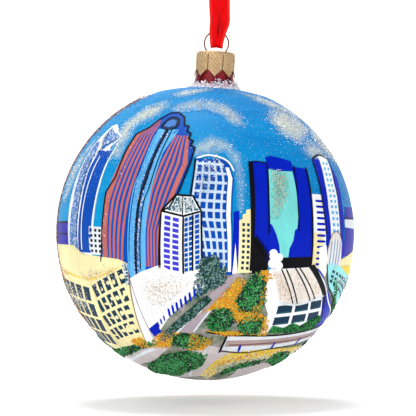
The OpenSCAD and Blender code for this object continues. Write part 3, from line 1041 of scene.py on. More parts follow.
def scatterSpeckle():
    # a speckle of fine glitter over the whole sky, and rough reddish glitter along the left edge
    fine = Picture("skySpeckle", 0)
    fine.glitter(blueGlitter, [(-80, 5), (-78, 50), (-40, 72), (0, 74), (40, 72), (78, 50), (80, 5),
                               (0, 20)], 1.1, 0.18, 61, 0, 3)
    fine.finish()
    rough = Picture("reddishGlitter", 0)
    rough.glitter(rustGlitter, [(-77, -48), (-79, -10), (-79, 20), (-72, 46), (-56, 64), (-96, 62),
                                (-116, 30), (-114, -36)], 3, 0.34, 7, 9, 12)
    rough.finish()


def paintDiamondTower():
    art = Picture("diamondTower", 1)
    art.fill(white, [(-64, -9), (-66, 18), (-65.5, 34), (-62, 42), (-58.5, 43), (-46, 37), (-45, 32),
                     (-47, 26), (-47, 0), (-48, -11)], 0)
    art.band(tone("steel", 0.3), [(-9, -63.5, -57), (9, -63.5, -57.5), (24, -65.5, -58.5),
                                  (34, -65, -60)], 0, 1, layer=1)
    art.band(tone("deepBlue"), [(-10, -56.5, -48.5), (8, -56.5, -48), (22, -58, -48), (30, -57, -47.5)],
             0, 1, layer=1)
    art.line(white, [(-54, -9), (-54.5, 8), (-54.5, 22), (-54, 27.5)], 0.5, 3)
    art.fill(tone("steel", 0.35), [(-60, 41), (-48, 36), (-55, 30), (-61, 36)], 2)
    art.line(ink, [(-57, -9), (-58, 8), (-59.5, 24), (-56, 31), (-49, 35)], 0.32, 3)
    art.line(white, [(-58, 28), (-61.5, 37), (-60, 42), (-46.5, 36.5), (-52, 29.5)], 0.6, 4, smooth=False)
    art.line(white, [(-64, -9), (-66, 18), (-65, 34)], 0.6, 3)
    art.line(white, [(-47.3, -3), (-47.3, 22), (-46, 32)], 0.5, 3)
    art.line(ink, [(-56, 29), (-60, 40)], 0.25, 5)
    art.glitter(blueGlitter, [(-63, -8), (-62, 10), (-64, 30), (-60, 28), (-58.5, 10), (-58, -8)],
                5, 0.3, 51)
    art.finish()


def paintLeftBlocks():
    art = Picture("leftBlocks", 2)
    art.fill(tone("violet"), [(-96, 0), (-65, 1), (-64.5, -9), (-96, -10)], 0)
    art.line(ink, [(-96, 0), (-65, 1)], 0.6, 1)
    art.line(ink, [(-96, -4), (-65, -3.5)], 0.5, 1)
    small = [(-10.5, -49, -41.5), (0, -49.5, -42)]
    art.band(tone("chalk"), small, 0, 1, layer=0)
    art.panes(ink, small, 3, 5, 0.05, 0.95, 0.04, 0.96, (0.5, 0.55), 1)
    art.finish()


def paintStripedTower():
    art = Picture("stripedTower", 3)
    outline = [(-30, -20), (-36, -20), (-43, -20), (-42, -8), (-42, 5), (-42.5, 13), (-39.5, 19),
               (-39, 31), (-38, 38), (-32.5, 41.5), (-29, 46.5), (-25, 50), (-20, 50.5), (-15.5, 48),
               (-14, 43.5), (-11.5, 43), (-12, 40.5), (-9.5, 39.5), (-10.5, 37), (-8, 36), (-9, 34),
               (-6.8, 33), (-8, 26), (-11, 15), (-14, 9), (-17, 7), (-17, -14), (-21, -19)]
    art.fill(tone("deepBlue"), outline, 0)
    left = [(-17.5, -43, -30), (-10, -41.5, -30), (10, -42.5, -28.5), (31, -39, -26.5),
            (38, -37.5, -26.8), (42.5, -32, -26.8), (46, -29.4, -26.5)]
    for start, stop in ((0.0, 0.2), (0.27, 0.35), (0.43, 0.51), (0.59, 0.67), (0.75, 0.83)):
        art.band(tone("salmon"), left, start, stop, 0, 0.985, 1)
    right = [(-13.5, -23, -16.5), (0, -23.5, -17), (14, -23, -12.5), (26, -21, -9), (40, -17, -10.5)]
    for start, stop in ((0.06, 0.15), (0.24, 0.34), (0.43, 0.53), (0.62, 0.72), (0.82, 1.0)):
        art.band(tone("salmon"), right, start, stop, 0, 0.97, 1)
    middle = [(-18, -29.5, -22.5), (-8, -29, -22.5), (5, -29, -22.5), (16, -29, -22), (30, -27, -20.5),
              (41, -27, -16)]
    art.band(tone("paleBlue"), middle, 0, 1, layer=2)
    art.fill(tone("deepBlue"), [(-27, 41), (-28, 46.5), (-25, 50), (-20, 50.5), (-15.5, 48), (-14, 43),
                                (-18, 39), (-24, 38.5)], 2)
    art.band(tone("steel", 0.3), middle, 0.3, 0.62, 0, 0.97, 3)
    art.band(tone("navy"), middle, 0.36, 0.5, 0.02, 1.0, 4)
    art.fill(tone("navy"), [(-26, 42), (-24.5, 46), (-21.5, 47.5), (-18, 46.5), (-17.5, 43), (-20, 41),
                            (-24, 41)], 4)
    art.fill(tone("steel"), [(-24.8, 42.5), (-23.8, 45), (-21.5, 46.3), (-19, 45.5), (-18.8, 43),
                             (-22, 42)], 5)
    art.line(ink, [(-43, -13)] + outline[3:-1], 0.55, 6, smooth=False)
    art.line(ink, [(-26.5, -16), (-26.5, 10), (-25, 17), (-23.5, 30), (-21.5, 41)], 0.5, 7)
    art.line(ink, [(-24.5, -15), (-24.5, 8), (-23, 16), (-21.5, 29), (-19.5, 41)], 0.35, 7)
    art.line(ink, [(-26, 42), (-24.5, 46), (-21.5, 47.5), (-18, 46.5), (-17.5, 43), (-20, 41), (-24, 41)],
             0.4, 7, True)
    art.line(tone("paleBlue"), [(-29.5, -17), (-29.5, 14), (-28, 22), (-27, 38)], 0.45, 7)
    art.glitter(silver, [(-42.5, -16), (-41, -16), (-39.5, 14), (-41.5, 13)], 7, 0.3, 61, 7)
    art.glitter(blueGlitter, [(-29, -15), (-26.5, -15), (-26.5, 15), (-25, 36), (-27, 36), (-29, 14)], 5,
                0.28, 62, 7)
    art.glitter(silver, [(-38, 20), (-36, 20), (-35, 36), (-37, 36)], 4, 0.26, 63, 7)
    art.finish()


def paintGridTower():
    art = Picture("gridTower", 2)
    body = [(-15, -1, 11), (-8, -2, 10.5), (0, -4, 10), (7, -6.5, 9.5), (14, -6.5, 9.5), (21, -6.2, 10),
            (28.5, -5.8, 7.5)]
    art.band(tone("deepBlue"), body, 0, 1, layer=0)
    for row in range(12):
        art.ledge(tone("frost"), body, 0.04 + 0.083 * row, 1.0, 0.06 + 0.01 * (row % 3), 0.84, 2)
    for s in (0.06, 0.23, 0.4, 0.57, 0.74):
        art.upright(tone("frost"), body, s, 0.75, 0.0, 0.98, 2)
    art.band(white, body, 0.86, 0.96, 0.03, 0.93, 3)
    art.line(white, [(-5.5, 28.5), (-1, 30), (4, 29.5), (8, 27.5), (10, 24)], 0.6, 4)
    art.line(ink, [(-6, 28.5), (-6, 22), (-6.5, 14)], 0.6, 4)
    art.glitter(blueGlitter, [(-5, 14), (-5.5, 27), (3, 27), (2, 14)], 4, 0.34, 71, 3)
    art.glitter(silver, [(-4, 26), (-1, 31), (6, 30), (8, 24), (0, 22)], 3, 0.3, 72, 3)
    art.finish()


def paintPyramidTower():
    art = Picture("pyramidTower", 6)
    leftFace = [(-16.5, -14.5, -7.5, -15.5), (-17, 7, -8.5, 5.5)]
    rightFace = [(-7.5, -15.5, -0.5, -13.5), (-8.5, 5.5, -2, 8)]
    art.band(white, leftFace, 0, 1, layer=0)
    art.band(tone("chalk"), rightFace, 0, 1, layer=0)
    art.panes(tone("iris"), leftFace, 2, 10, 0.12, 0.86, 0.02, 0.97, (0.72, 0.68), 1)
    art.panes(tone("deepBlue"), rightFace, 2, 11, 0.05, 0.52, 0.02, 0.98, (0.74, 0.72), 1)
    art.panes(tone("deepBlue"), rightFace, 1, 11, 0.62, 0.9, 0.02, 0.98, (0.8, 0.72), 1)
    art.fill(white, [(-12, 13.5), (-5.5, 13.5), (-2, 8), (-8.5, 5.8), (-17, 7.3)], 1)
    art.fill(tone("teal", 0.45), [(-11.5, 12.8), (-10, 12.8), (-9.2, 7), (-15.8, 7.9)], 2)
    art.fill(tone("teal", 0.45), [(-8.8, 12.8), (-6, 12.8), (-3, 8.3), (-8, 7)], 2)
    art.line(ink, [(-17, 7.3), (-12, 13.5), (-5.5, 13.5), (-2, 8), (-8.5, 5.8)], 0.65, 3, True, False)
    art.line(ink, [(-9.5, 13.5), (-8.8, 6)], 0.4, 3)
    art.line(ink, [(-16.5, -14), (-17, 7)], 0.55, 3)
    art.line(ink, [(-7.5, -15.5), (-8.5, 5.5)], 0.65, 3)
    art.line(ink, [(-4, -14.5), (-5, 6.5)], 0.5, 3)
    art.line(ink, [(-0.5, -13.5), (-2, 8)], 0.6, 3)
    art.glitter(silver, [(-15, 8), (-11, 13), (-6, 13), (-3, 8.5), (-8.5, 7)], 6, 0.3, 81, 3, 1.2)
    art.finish()


def paintMiddleTowers():
    art = Picture("slimTowers", 3)
    art.fill(tone("royal"), [(10, 8.5), (12, 9), (13.5, -14), (10.5, -15)], 0)
    art.fill(white, [(11, -14.5), (11.2, -3), (13, -14)], 1)
    steps = [(13, -14), (18.5, -13.5), (17, 10), (14.8, 9.5), (14.6, 8), (13.5, 7.8), (13.4, 6), (12.2, 5.5)]
    art.fill(cream, steps, 2)
    stepped = [(-13, 13.2, 18), (5, 12.4, 17)]
    art.panes(tone("slate"), stepped, 2, 9, 0.12, 0.9, 0.0, 1.0, (0.55, 0.55), 3)
    art.finish()


def paintBlueTower():
    art = Picture("blueTower", 3)
    art.fill(ink, [(16.8, 28.5), (19, 28.8), (19.5, 0), (22, -4), (24.5, -8), (25, -14), (17.5, -14),
                   (17, 8)], 0)
    art.fill(tone("royal"), [(18.3, 28.5), (45, 27), (44, 14.5), (43.8, 3.5), (44.5, -7), (25, -9),
                             (23, -5), (20, -1.5), (18.3, 0)], 1)
    art.fill(tone("turquoise"), [(25, 26.8), (36.5, 26.2), (36.8, 10), (36, 3), (34.5, -2), (33, -5),
                                 (33, -8), (29, -8.5), (28, -4), (26, 0), (24.3, 3), (24, 14)], 2)
    art.fill(tone("royal"), [(24.5, 30.6), (27, 31.4), (33, 30.6), (37.2, 29.6), (37, 25.5), (30.5, 25.2),
                             (25, 25.8)], 3)
    art.fill(tone("royal"), [(24, 5), (25, 4.5), (27, 1), (28.5, -3), (29.5, -8), (24, -9)], 3)
    art.fill(tone("royal"), [(37, 4), (35, 3), (34.5, -1), (33, -4), (33.5, -9), (44, -8), (43.5, 2)], 3)
    art.line(ink, [(16.8, 28.5), (17, 8), (18, -13)], 0.9, 4)
    art.line(ink, [(24.7, 28), (23.8, 14), (24, 1)], 0.6, 4)
    art.line(ink, [(38, 28), (36.8, 14), (37, 2.5)], 0.5, 4)
    art.line(ink, [(44.8, 27.5), (44, 14), (43.8, 3.5), (44.7, -10)], 0.8, 4)
    art.line(ink, [(18.3, 28.7), (24.7, 28.3)], 0.4, 4)
    art.fill(ink, [(28, -7.5), (44.5, -6.5), (44.5, -11.5), (27, -11.5)], 4)
    for x, y, r in ((26.3, -6.3, 1.9), (29, -7.4, 1.6), (26.8, -9.6, 2.1), (29.3, -10.6, 1.7)):
        turns = [math.tau * k / 14 for k in range(14)]
        art.fill(white, [(x + r * math.cos(a), y + r * math.sin(a)) for a in turns], 6)
    for i in range(7):
        art.line(ink, [(19 + 0.9 * i, -3 - i), (19.3 + 0.9 * i, 0.5 - i)], 0.6, 5)
    art.glitter(sageGlitter, [(24.5, 6), (25.2, 26), (34, 26), (33, 16), (28, 6)], 15, 0.26, 91, 4, 3)
    art.finish()


def paintRightTowers():
    art = Picture("rightTowers", 2)
    slit = [(-11, 45, 52.5), (3, 44, 51.6), (17, 44.5, 50.8)]
    art.band(white, slit, 0, 1, layer=0)
    art.band(cream, slit, 0, 0.75, 0, 0.48, 1)
    for row in range(12):
        art.ledge(tone("royal"), slit, 0.06 + row * 0.077, 0.8, 0.3, 0.95, 2)
    curve = [(-9, 54, 67.5), (2, 51.8, 65.5), (14, 50.6, 66), (24, 51, 68), (31.5, 51.5, 66)]
    art.band(tone("royal"), curve, 0, 1, layer=3)
    stripe = [(1, 55, 62.5), (12, 54, 62), (22, 55, 62.5), (33, 57.5, 66)]
    art.band(white, stripe, 0, 1, layer=4)
    art.panes(tone("paleBlue"), stripe, 2, 13, 0.12, 0.9, 0.04, 0.94, (0.5, 0.5), 5)
    art.line(ink, [(51.5, 31.5), (58.5, 33.5), (66, 32)], 0.6, 5)
    art.line(ink, [(51.8, 2), (50.6, 14), (51.3, 31)], 0.6, 5)
    art.line(ink, [(62, 1), (62, 13), (64, 24), (65.5, 32)], 0.5, 5)
    rim = [(-6, 67, 96), (8, 67, 96), (20, 72, 92)]
    art.band(tone("violet"), rim, 0, 1, 0, 0.7, 2)
    art.fill(tone("chalk"), [(67, 5), (67, 8), (96, 8), (96, 4)], 4)
    art.line(ink, [(66, 8.5), (96, 8.5)], 0.4, 5)
    art.finish()


def paintArchHall():
    art = Picture("archHall", 8)
    art.fill(cream, [(54, -12), (66, -7), (80, -4), (96, -7), (96, -16), (60, -14)], 0)
    barrel = [(54, -11), (53.5, -3), (54.2, 0), (56, 2.4), (58.5, 3.2), (61, 2.4), (63, 0), (64, -4),
              (65.5, -10)]
    art.fill(tone("ivory"), barrel, 1)
    art.line(tone("brick"), barrel[1:-1], 0.35, 2)
    art.fill(white, [(48, -3), (52, -2), (54.5, -9), (55, -14), (49.5, -11)], 1)
    for i in range(4):
        a = 55.5 + 2.2 * i
        art.line(tone("powder"), [(a + 0.2, -10), (a, -4), (a, 0.5 - 0.6 * abs(i - 1.5))], 0.5, 2)
        art.line(white, [(a + 1.3, -10), (a + 1.1, -4), (a + 1.1, 0.8 - 0.6 * abs(i - 1))], 0.5, 2)
    art.fill(tone("aqua"), [(54, -9), (58, -8.5), (96, -16), (96, -28), (80, -26), (60, -18)], 3)
    long = [(57, -16, 92, -26.5), (57, -10, 92, -17)]
    art.panes(tone("navy"), long, 9, 3, 0.04, 0.98, 0.06, 0.94, (0.62, 0.55), 4)
    art.fill(tone("yellow"), [(66, -10), (76, -9.5), (96, -12), (96, -14.5), (74, -12.5)], 5)
    art.line(ink, [(54, -9), (60, -18), (80, -26.5), (96, -28.5)], 0.5, 5)
    art.glitter(silver, [(60, -12), (80, -15), (90, -20), (66, -18)], 3, 0.3, 95, 5)
    art.finish()


def paintHouse():
    art = Picture("whiteHouse", 9)
    art.fill(white, [(25.5, -12), (44, -10.5), (59, -21), (57.5, -22), (68.5, -33.5), (35, -38),
                     (30, -39.5), (30, -30), (25.5, -24)], 0)
    art.fill(tone("ivory"), [(27, -12.5), (43.5, -10.5), (58, -21), (42, -25.5), (33, -24.5)], 1)
    art.fill(ink, [(43, -10), (46.5, -9.5), (60, -20.5), (59, -22.5)], 2)
    seams = [((40.5, -25), (30.5, -11.5)), ((43.2, -25.3), (32.7, -11.5)), ((50.5, -24), (36.5, -10.7)),
             ((53.2, -23.3), (38.7, -10.7))]
    for seam in seams:
        art.line(ink, seam, 0.5, 3)
    walls = [(34, -36, 65, -32.5), (33, -25, 58.5, -21.8)]
    for s0, s1 in ((0.02, 0.3), (0.36, 0.64), (0.7, 0.97)):
        for t0, t1 in ((0.1, 0.42), (0.56, 0.88)):
            corners = ((s0, t0), (s1, t0), (s1 - 0.01, t1), (s0 - 0.01, t1))
            art.fill(tone("slate"), [art.spot(walls, s, t) for s, t in corners], 2)
            art.ledge(tone("teal"), walls, t0 + 0.05, 0.4, s0 + 0.03, s1 - 0.03, 3)
    art.line(ink, [(59.5, -21.5), (69, -33)], 0.5, 4)
    art.line(tone("chalk"), [(33, -25), (44, -25.3), (58.5, -21.5)], 0.7, 4)
    hedge = [(34, -38.5), (35, -35), (42, -36), (46, -33.5), (52, -35), (58, -31.5), (64, -30), (70, -33),
             (66, -36), (48, -38)]
    art.fill(tone("leaf"), hedge, 4)
    art.glitter(leafDabs, hedge, 9, 0.55, 101, 5, 0.6)
    art.glitter(beigeGlitter, [(27, -13), (31, -13), (42, -24), (33, -23.5)], 9, 0.3, 102, 2)
    art.glitter(beigeGlitter, [(33, -12), (37, -12), (49, -23), (44, -23.5)], 6, 0.28, 104, 2)
    art.glitter(beigeGlitter, [(40, -11.5), (43, -11.5), (56, -20.5), (51, -22)], 7, 0.28, 103, 2)
    art.finish()


def paintOffice():
    art = Picture("creamOffice", 6)
    art.fill(cream, [(-96, -8), (-60, -7.5), (-54, -10.5), (-34, -11.5), (-30, -13), (-30, -46),
                     (-38, -49), (-57, -53), (-72, -54), (-96, -48)], 0)
    rightFace = [(-54, -49, -30.5, -43), (-51.5, -22, -30.5, -13)]
    leftFace = [(-91, -50, -57, -52), (-86, -19, -53, -22.5)]
    art.panes(tone("slate"), rightFace, 5, 4, 0.05, 0.99, 0.02, 0.99, (0.66, 0.8), 1, -0.07)
    art.panes(tone("slate"), leftFace, 5, 4, 0.02, 0.98, 0.02, 0.98, (0.7, 0.8), 3, 0.03)
    art.fill(tone("yellow", 0.2), [(-96, -8.5), (-60, -8), (-54, -11), (-34, -12), (-31.5, -13.5),
                                   (-44, -19), (-52, -21), (-70, -19), (-96, -17)], 1)
    art.fill(cream, [(-96, -8.5), (-60, -8), (-54, -11), (-34, -12), (-31.5, -13.5), (-44, -18),
                     (-52, -20), (-70, -18), (-96, -16)], 2)
    art.line(cream, [(-52, -21.5), (-51.5, -30), (-54.5, -42), (-57, -53)], 1.0, 3)
    art.line(tone("brick"), [(-30, -13), (-30.2, -30), (-30.2, -46)], 0.3, 3)
    art.fill(tone("teal", 0.3), [(-32.5, -13), (-30, -13), (-30, -21), (-31.5, -21.5)], 3)
    art.glitter(beigeGlitter, [(-90, -16), (-58, -18), (-34, -14), (-36, -17), (-50, -21), (-84, -19)], 6,
                0.3, 111, 3, 1)
    art.glitter(silver, [(-50, -19), (-34, -14), (-33, -20), (-50, -27)], 2, 0.26, 112, 3)
    art.glitter(silver, [(-86, -22), (-56, -24), (-58, -34), (-84, -32)], 2, 0.28, 113, 3)
    art.finish()


def paintHall():
    art = Picture("whiteHall", 10)
    art.fill(white, [(-29.5, -18.5), (-25, -16), (-16.5, -12.5), (-12.5, -14.5), (-7.5, -15.5),
                     (-1.5, -13), (1.5, -20), (-5, -25), (-14.5, -34), (-21, -42), (-24, -47.5),
                     (-30, -47)], 0)
    art.line(tone("chalk"), [(-17, -29), (-3, -17.5)], 0.5, 1)
    for i in range(8):
        art.line(tone("royal"), [(-13.5 + 1.8 * i, -33.2 + 1.45 * i), (-14 + 1.8 * i, -29.6 + 1.45 * i)],
                 0.8, 3)
    for i in range(3):
        art.line(tone("royal"), [(-19.6 + 1.7 * i, -38.4 + 1.6 * i), (-19.9 + 1.7 * i, -36 + 1.6 * i)],
                 0.6, 3)
    art.fill(tone("royal"), [(-25.2, -39.6), (-20.4, -36.4), (-19.2, -40.6), (-23.6, -43.6)], 3)
    art.line(tone("lilac"), [(-29.5, -19), (-27, -32), (-24, -46)], 0.4, 1)
    art.glitter(beigeGlitter, [(-27, -19), (-15, -15), (-5, -16), (-6, -23), (-16, -31), (-24, -27)], 10,
                0.26, 121, 1, 7)
    art.glitter(silver, [(-27, -20), (-15, -15), (-3, -16), (-6, -25), (-18, -34), (-26, -36)], 3, 0.24,
                123, 1, 3)
    hedge = [(-21.5, -44.5), (-13, -37), (-4, -28.8), (1.8, -23.4), (4.2, -25), (-3, -33), (-12, -40.5),
             (-19, -46)]
    art.fill(tone("darkLeaf"), hedge, 1)
    art.glitter(darkDabs, hedge, 12, 0.5, 122, 2, 0.5)
    art.finish()


def paintRoads():
    art = Picture("roadsAndWall", 3)
    lane = [(-20, -44), (-7, -32.5), (2.5, -24), (8.5, -17), (12.5, -13.5), (16, -15), (10, -22),
            (2, -32), (-3, -40), (-8, -45)]
    art.fill(tone("lilac"), lane, 0)
    art.line(white, [(-12, -41), (-5, -34), (0, -29.5)], 1.3, 1)
    art.line(tone("chalk"), [(-3, -40), (3, -31), (9.5, -22)], 0.6, 1)
    art.fill(tone("pebble"), [(-96, -62), (-57, -57), (-30, -47.5), (-18, -50), (-34, -60), (-96, -70)], 0)
    art.line(tone("chalk"), [(-80, -63), (-50, -58), (-22, -49)], 1.6, 1)
    art.fill(tone("pebble"), [(0, -46), (14, -48), (26, -50), (14, -58), (8, -72), (-50, -80), (-10, -60)], 0)
    art.line(tone("chalk"), [(4, -50), (-2, -60), (-10, -74)], 0.8, 1)
    road = [(12, -49), (13.5, -41.5), (37.5, -40), (57.5, -38), (96, -33.5), (96, -40), (69, -44),
            (43, -47), (24, -49.5)]
    art.fill(tone("chalk"), road, 2)
    art.fill(tone("taupe"), [(14, -43.5), (38, -42), (58, -40), (96, -35.5), (96, -38), (66, -42),
                             (42, -45), (14, -47)], 3)
    art.fill(tone("brick"), [(16, -45.5), (38, -43.8), (58, -41.5), (96, -37), (96, -38), (58, -42.4),
                             (38, -44.6), (16, -46.3)], 4)
    art.line(ink, [(3, -39.5), (14, -40.5), (37.5, -40), (57.5, -38), (96, -33.2)], 0.65, 5)
    art.line(ink, [(12, -49.5), (27.5, -50), (43, -47.3), (67, -44.3), (96, -40)], 0.5, 5)
    art.line(ink, [(13.5, -41), (12, -50.5)], 0.7, 6)
    for a, top, low in ((22.5, -45.5, -49.3), (43, -43.5, -47), (62, -41, -44.5), (80, -38, -41.5)):
        art.line(tone("royal"), [(a, top), (a + 0.6, low)], 0.85, 6)
    art.fill(tone("royal"), [(46, -10.5), (50, -11), (60, -19), (74, -27), (96, -33), (96, -36),
                             (70, -35.5), (64, -29), (60, -23)], 2)
    art.line(white, [(47, -10.5), (56, -16.5), (68, -25), (96, -33.5)], 0.6, 3)
    bank = [(3, -71), (11.5, -56.5), (18.5, -51), (36, -48), (70, -46.5), (96, -46), (96, -52),
            (52.5, -54), (30.5, -58), (20, -66), (14, -76)]
    art.fill(tone("yellow"), bank, 2)
    art.glitter(sageGlitter, [(14, -62), (26, -55), (52, -51), (60, -52.5), (40, -56), (28, -60),
                              (20, -68)], 9, 0.4, 131, 3, 2)
    art.glitter(silver, bank, 2.5, 0.34, 132, 3, 1)
    art.glitter(flowerDabs, [(12, -57), (36, -49), (70, -47.5), (60, -49), (36, -51), (16, -60)], 6, 0.45,
                133, 3, 1)
    art.fill(tone("pebble"), [(53, -84), (33, -60), (66, -56), (96, -58), (120, -74)], 1)
    art.finish()


def paintPlants():
    art = Picture("treesAndFlowers", 8)
    leafy = [
        [(14, -24.5), (16.5, -18.5), (21, -13), (24.5, -16), (26.5, -24), (25, -30), (16.5, -29)],
        [(2.5, -34), (6, -28.5), (12, -28), (16, -33.5), (12, -38.5), (5, -38.5)],
        [(17, -34), (21.5, -30.5), (28, -32), (31, -38.5), (22.5, -40), (18.5, -38)],
        [(54, -56), (51.5, -50), (64, -49), (84, -54.5), (83, -60)],
        [(-16, -42.5), (-9.5, -41), (0, -41), (4.5, -44), (-2, -49), (-13.5, -48)],
        [(-70, -72), (-48, -64.5), (-22.5, -55), (-8, -51), (3, -53), (1.5, -61), (-22.5, -72)],
        [(-90, -54), (-75, -55), (-45.5, -50.5), (-27, -45.5), (-25, -47.5), (-53, -56), (-90, -60)],
        [(60, -14), (66, -19), (74, -26), (90, -31), (90, -28), (76, -24), (66, -16)],
        [(22, -62), (34, -56), (48, -54), (46, -58), (34, -62), (26, -70)],
    ]
    chance = random.Random(4)
    for i, tree in enumerate(leafy):
        art.fill(tone("darkLeaf"), ragged(tree, chance), 0)
        art.glitter(leafDabs, grown(tree, 1.1), 6, 0.6, 141 + i, 1, 0.4)
        art.glitter(silver, tree, 1.1, 0.26, 161 + i, 3, 3)
        art.glitter(brightDabs, grown(tree, 0.6), 4.5, 0.5, 171 + i, 3, 3)
    dark = [(-3, -19.5), (-1, -10), (4, -8.5), (8, -13), (8, -18), (1, -22), (-1.5, -25)]
    art.fill(tone("darkLeaf"), ragged(dark, chance), 0)
    art.glitter(darkDabs, grown(dark, 1.15), 8, 0.6, 181, 1, 0.5)
    blooms = [
        [(1.5, -30.5), (8, -23.5), (13, -17), (16, -18.5), (13.5, -25), (17, -29.5), (16, -33.5), (11, -28),
         (5, -29)],
        [(25, -17), (27, -24), (25, -30), (31, -32), (33, -38), (28, -39), (28, -32), (20, -30), (24, -26)],
        [(15, -29), (26, -30), (28, -32), (18, -34)],
        [(20, -13), (24, -12.5), (28, -14), (25, -17)],
        [(-42, -47.5), (-33, -45), (-28, -49.5), (-36, -50)],
        [(-24, -45), (-21.5, -42.5), (-13.5, -40), (-9.5, -41), (-14, -43), (-16, -48), (-26, -49.5)],
        [(2, -39), (16, -38.5), (30, -39.5), (13, -40.8)],
        [(-4, -41), (6, -44), (2, -49), (-6, -49)],
    ]
    for i, bed in enumerate(blooms):
        art.fill(tone("ochre"), ragged(bed, chance), -1)
        art.glitter(flowerDabs, grown(bed, 1.2), 11, 0.5, 191 + i, 1, 1.5)
    art.finish()


backPlan = {"seed": 7, "towers": 17, "firstLongitude": 94, "lastLongitude": 263, "foot": -13, "course": 3.4,
            "bushes": 40, "bushCorners": 9}


def paintBackTown(plan):
    # the skyline goes on round the back: towers in two rows, trees and a road below them
    chance = random.Random(plan["seed"])
    art = Picture("backTown", 1)
    walls = ["steel", "royal", "salmon", "chalk", "cream", "powder", "deepBlue", "violet", "taupe"]
    glass = ["slate", "deepBlue", "navy", "paleBlue"]
    span = (plan["lastLongitude"] - plan["firstLongitude"]) / plan["towers"]
    for row in (0, 1):
        for i in range(plan["towers"]):
            left = plan["firstLongitude"] + (i + 0.5 * row) * span + chance.uniform(-1, 1)
            wide = span * chance.uniform(0.75, 1.05)
            top = chance.uniform(18, 42) if row == 0 else chance.uniform(0, 16)
            lean = chance.uniform(-0.6, 0.6)
            tower = [(plan["foot"], left, left + wide), (top, left + lean, left + wide + lean)]
            base = 5 + 4 * row
            wall = chance.choice(walls)
            art.band(tone(wall), tower, 0, 1, layer=base)
            pane = chance.choice([g for g in glass if g != wall])
            if chance.random() < 0.6:
                rows = max(4, int((top - plan["foot"]) / plan["course"]))
                art.panes(tone(pane), tower, 3, rows, 0.08, 0.92, 0.03, 0.96, (0.58, 0.5), base + 1)
            else:
                for s in (0.2, 0.4, 0.6, 0.8):
                    art.band(tone(pane), tower, s - 0.06, s + 0.04, 0.02, 0.97, base + 1)
            edging = [art.spot(tower, s, t) for s, t in ((0, 0), (0, 1), (1, 1), (1, 0))]
            art.line(ink, edging, 0.45, base + 2, smooth=False)
    road = [(96, -33.5), (130, -30), (180, -32), (230, -30), (264, -36), (264, -44), (230, -38),
            (180, -40), (130, -38), (96, -40)]
    art.fill(tone("taupe"), road, 1)
    art.line(ink, road[:5], 0.6, 2)
    art.line(ink, road[5:], 0.5, 2)
    art.line(white, [(98, -37), (130, -34), (180, -36), (230, -34), (262, -40)], 0.5, 2)
    art.fill(tone("yellow"), [(96, -46), (140, -50), (200, -48), (262, -54), (262, -58), (200, -54),
                              (140, -56), (96, -52)], 1)
    art.finish()
    plants = Picture("backPlants", 1)
    bushRows = (-16, -20, -24, -46, -58, -64)
    corners = [math.tau * k / plan["bushCorners"] for k in range(plan["bushCorners"])]
    seam = [(96, -17), (97, -24), (96, -47), (264, -16), (265, -24), (264, -30), (263, -50)]
    for i in range(plan["bushes"]):
        if i < len(seam):
            middle = seam[i]
        else:
            middle = (100 + 160 * chance.random(), chance.choice(bushRows) + chance.uniform(-2, 2))
        reach = chance.uniform(3.5, 7) / math.cos(math.radians(middle[1]))
        bush = [(middle[0] + reach * math.cos(a) * chance.uniform(0.8, 1.1), middle[1] + 4 * math.sin(a))
                for a in corners]
        plants.fill(tone("darkLeaf"), ragged(bush, chance), 11)
        plants.glitter(leafDabs if i % 3 else darkDabs, grown(bush, 1.1), 5, 0.6, 201 + i, 12, 0.6)
        if i % 2:
            plants.glitter(flowerDabs, [(x + 3, y - 5) for x, y in bush], 4, 0.5, 251 + i, 12, 2)
    plants.finish()


townPictures = [paintClouds, scatterSpeckle, paintDiamondTower, paintLeftBlocks, paintStripedTower,
                paintGridTower, paintPyramidTower, paintMiddleTowers, paintBlueTower, paintRightTowers,
                paintArchHall, paintHouse, paintOffice, paintHall, paintRoads, paintPlants]
for paintOne in townPictures:
    paintOne()
paintBackTown(backPlan)
print("painting ready")

# snow of glass grains heaped round the neck's foot

snowPlan = {"grains": 1560, "size": 0.62 * mm, "seed": 5, "inside": 7.3 * mm, "outside": 8.9 * mm,
            "flareEnd": 8.2 * mm, "highSide": math.radians(35), "bedRows": 7, "bedCount": 120,
            "bedDeep": 1.0 * mm,
            # the pink and grey tones are painted shade among the heaped white grains
            "tones": [(244, 240, 244), (226, 214, 222), (214, 168, 186), (250, 250, 252), (190, 190, 204)]}


def snowTree():
    tree, given = newTree("snowGrains", {"Size": "Float", "Seed": "Int", "Material": "Material"})
    grain = addNode(tree, "GeometryNodeMeshIcoSphere", {"Radius": 0.5, "Subdivisions": 1})
    turn = addNode(tree, "FunctionNodeRandomValue", {"Seed": given["Seed"], 1: wholeTurn},
                   data_type="FLOAT_VECTOR")
    squash = addNode(tree, "FunctionNodeRandomValue",
                     {"Seed": given["Seed"], 0: (0.6, 0.6, 0.6), 1: (1.5, 1.3, 1.4)},
                     data_type="FLOAT_VECTOR")
    sized = addNode(tree, "ShaderNodeVectorMath", {0: squash.outputs[0], "Scale": given["Size"]},
                    operation="SCALE")
    tone = addNode(tree, "FunctionNodeRandomValue", {})
    return scatterInstances(tree, given, given["Geometry"], grain, turn, sized.outputs[0], tone)


def snowPoint(radius, angle, height):
    return ballMiddle + Vector((radius * math.sin(angle), -radius * math.cos(angle), height))


def underSnow(radius, plan):
    return flareHeight(radius) if radius < plan["flareEnd"] else shoulderHeight(radius)


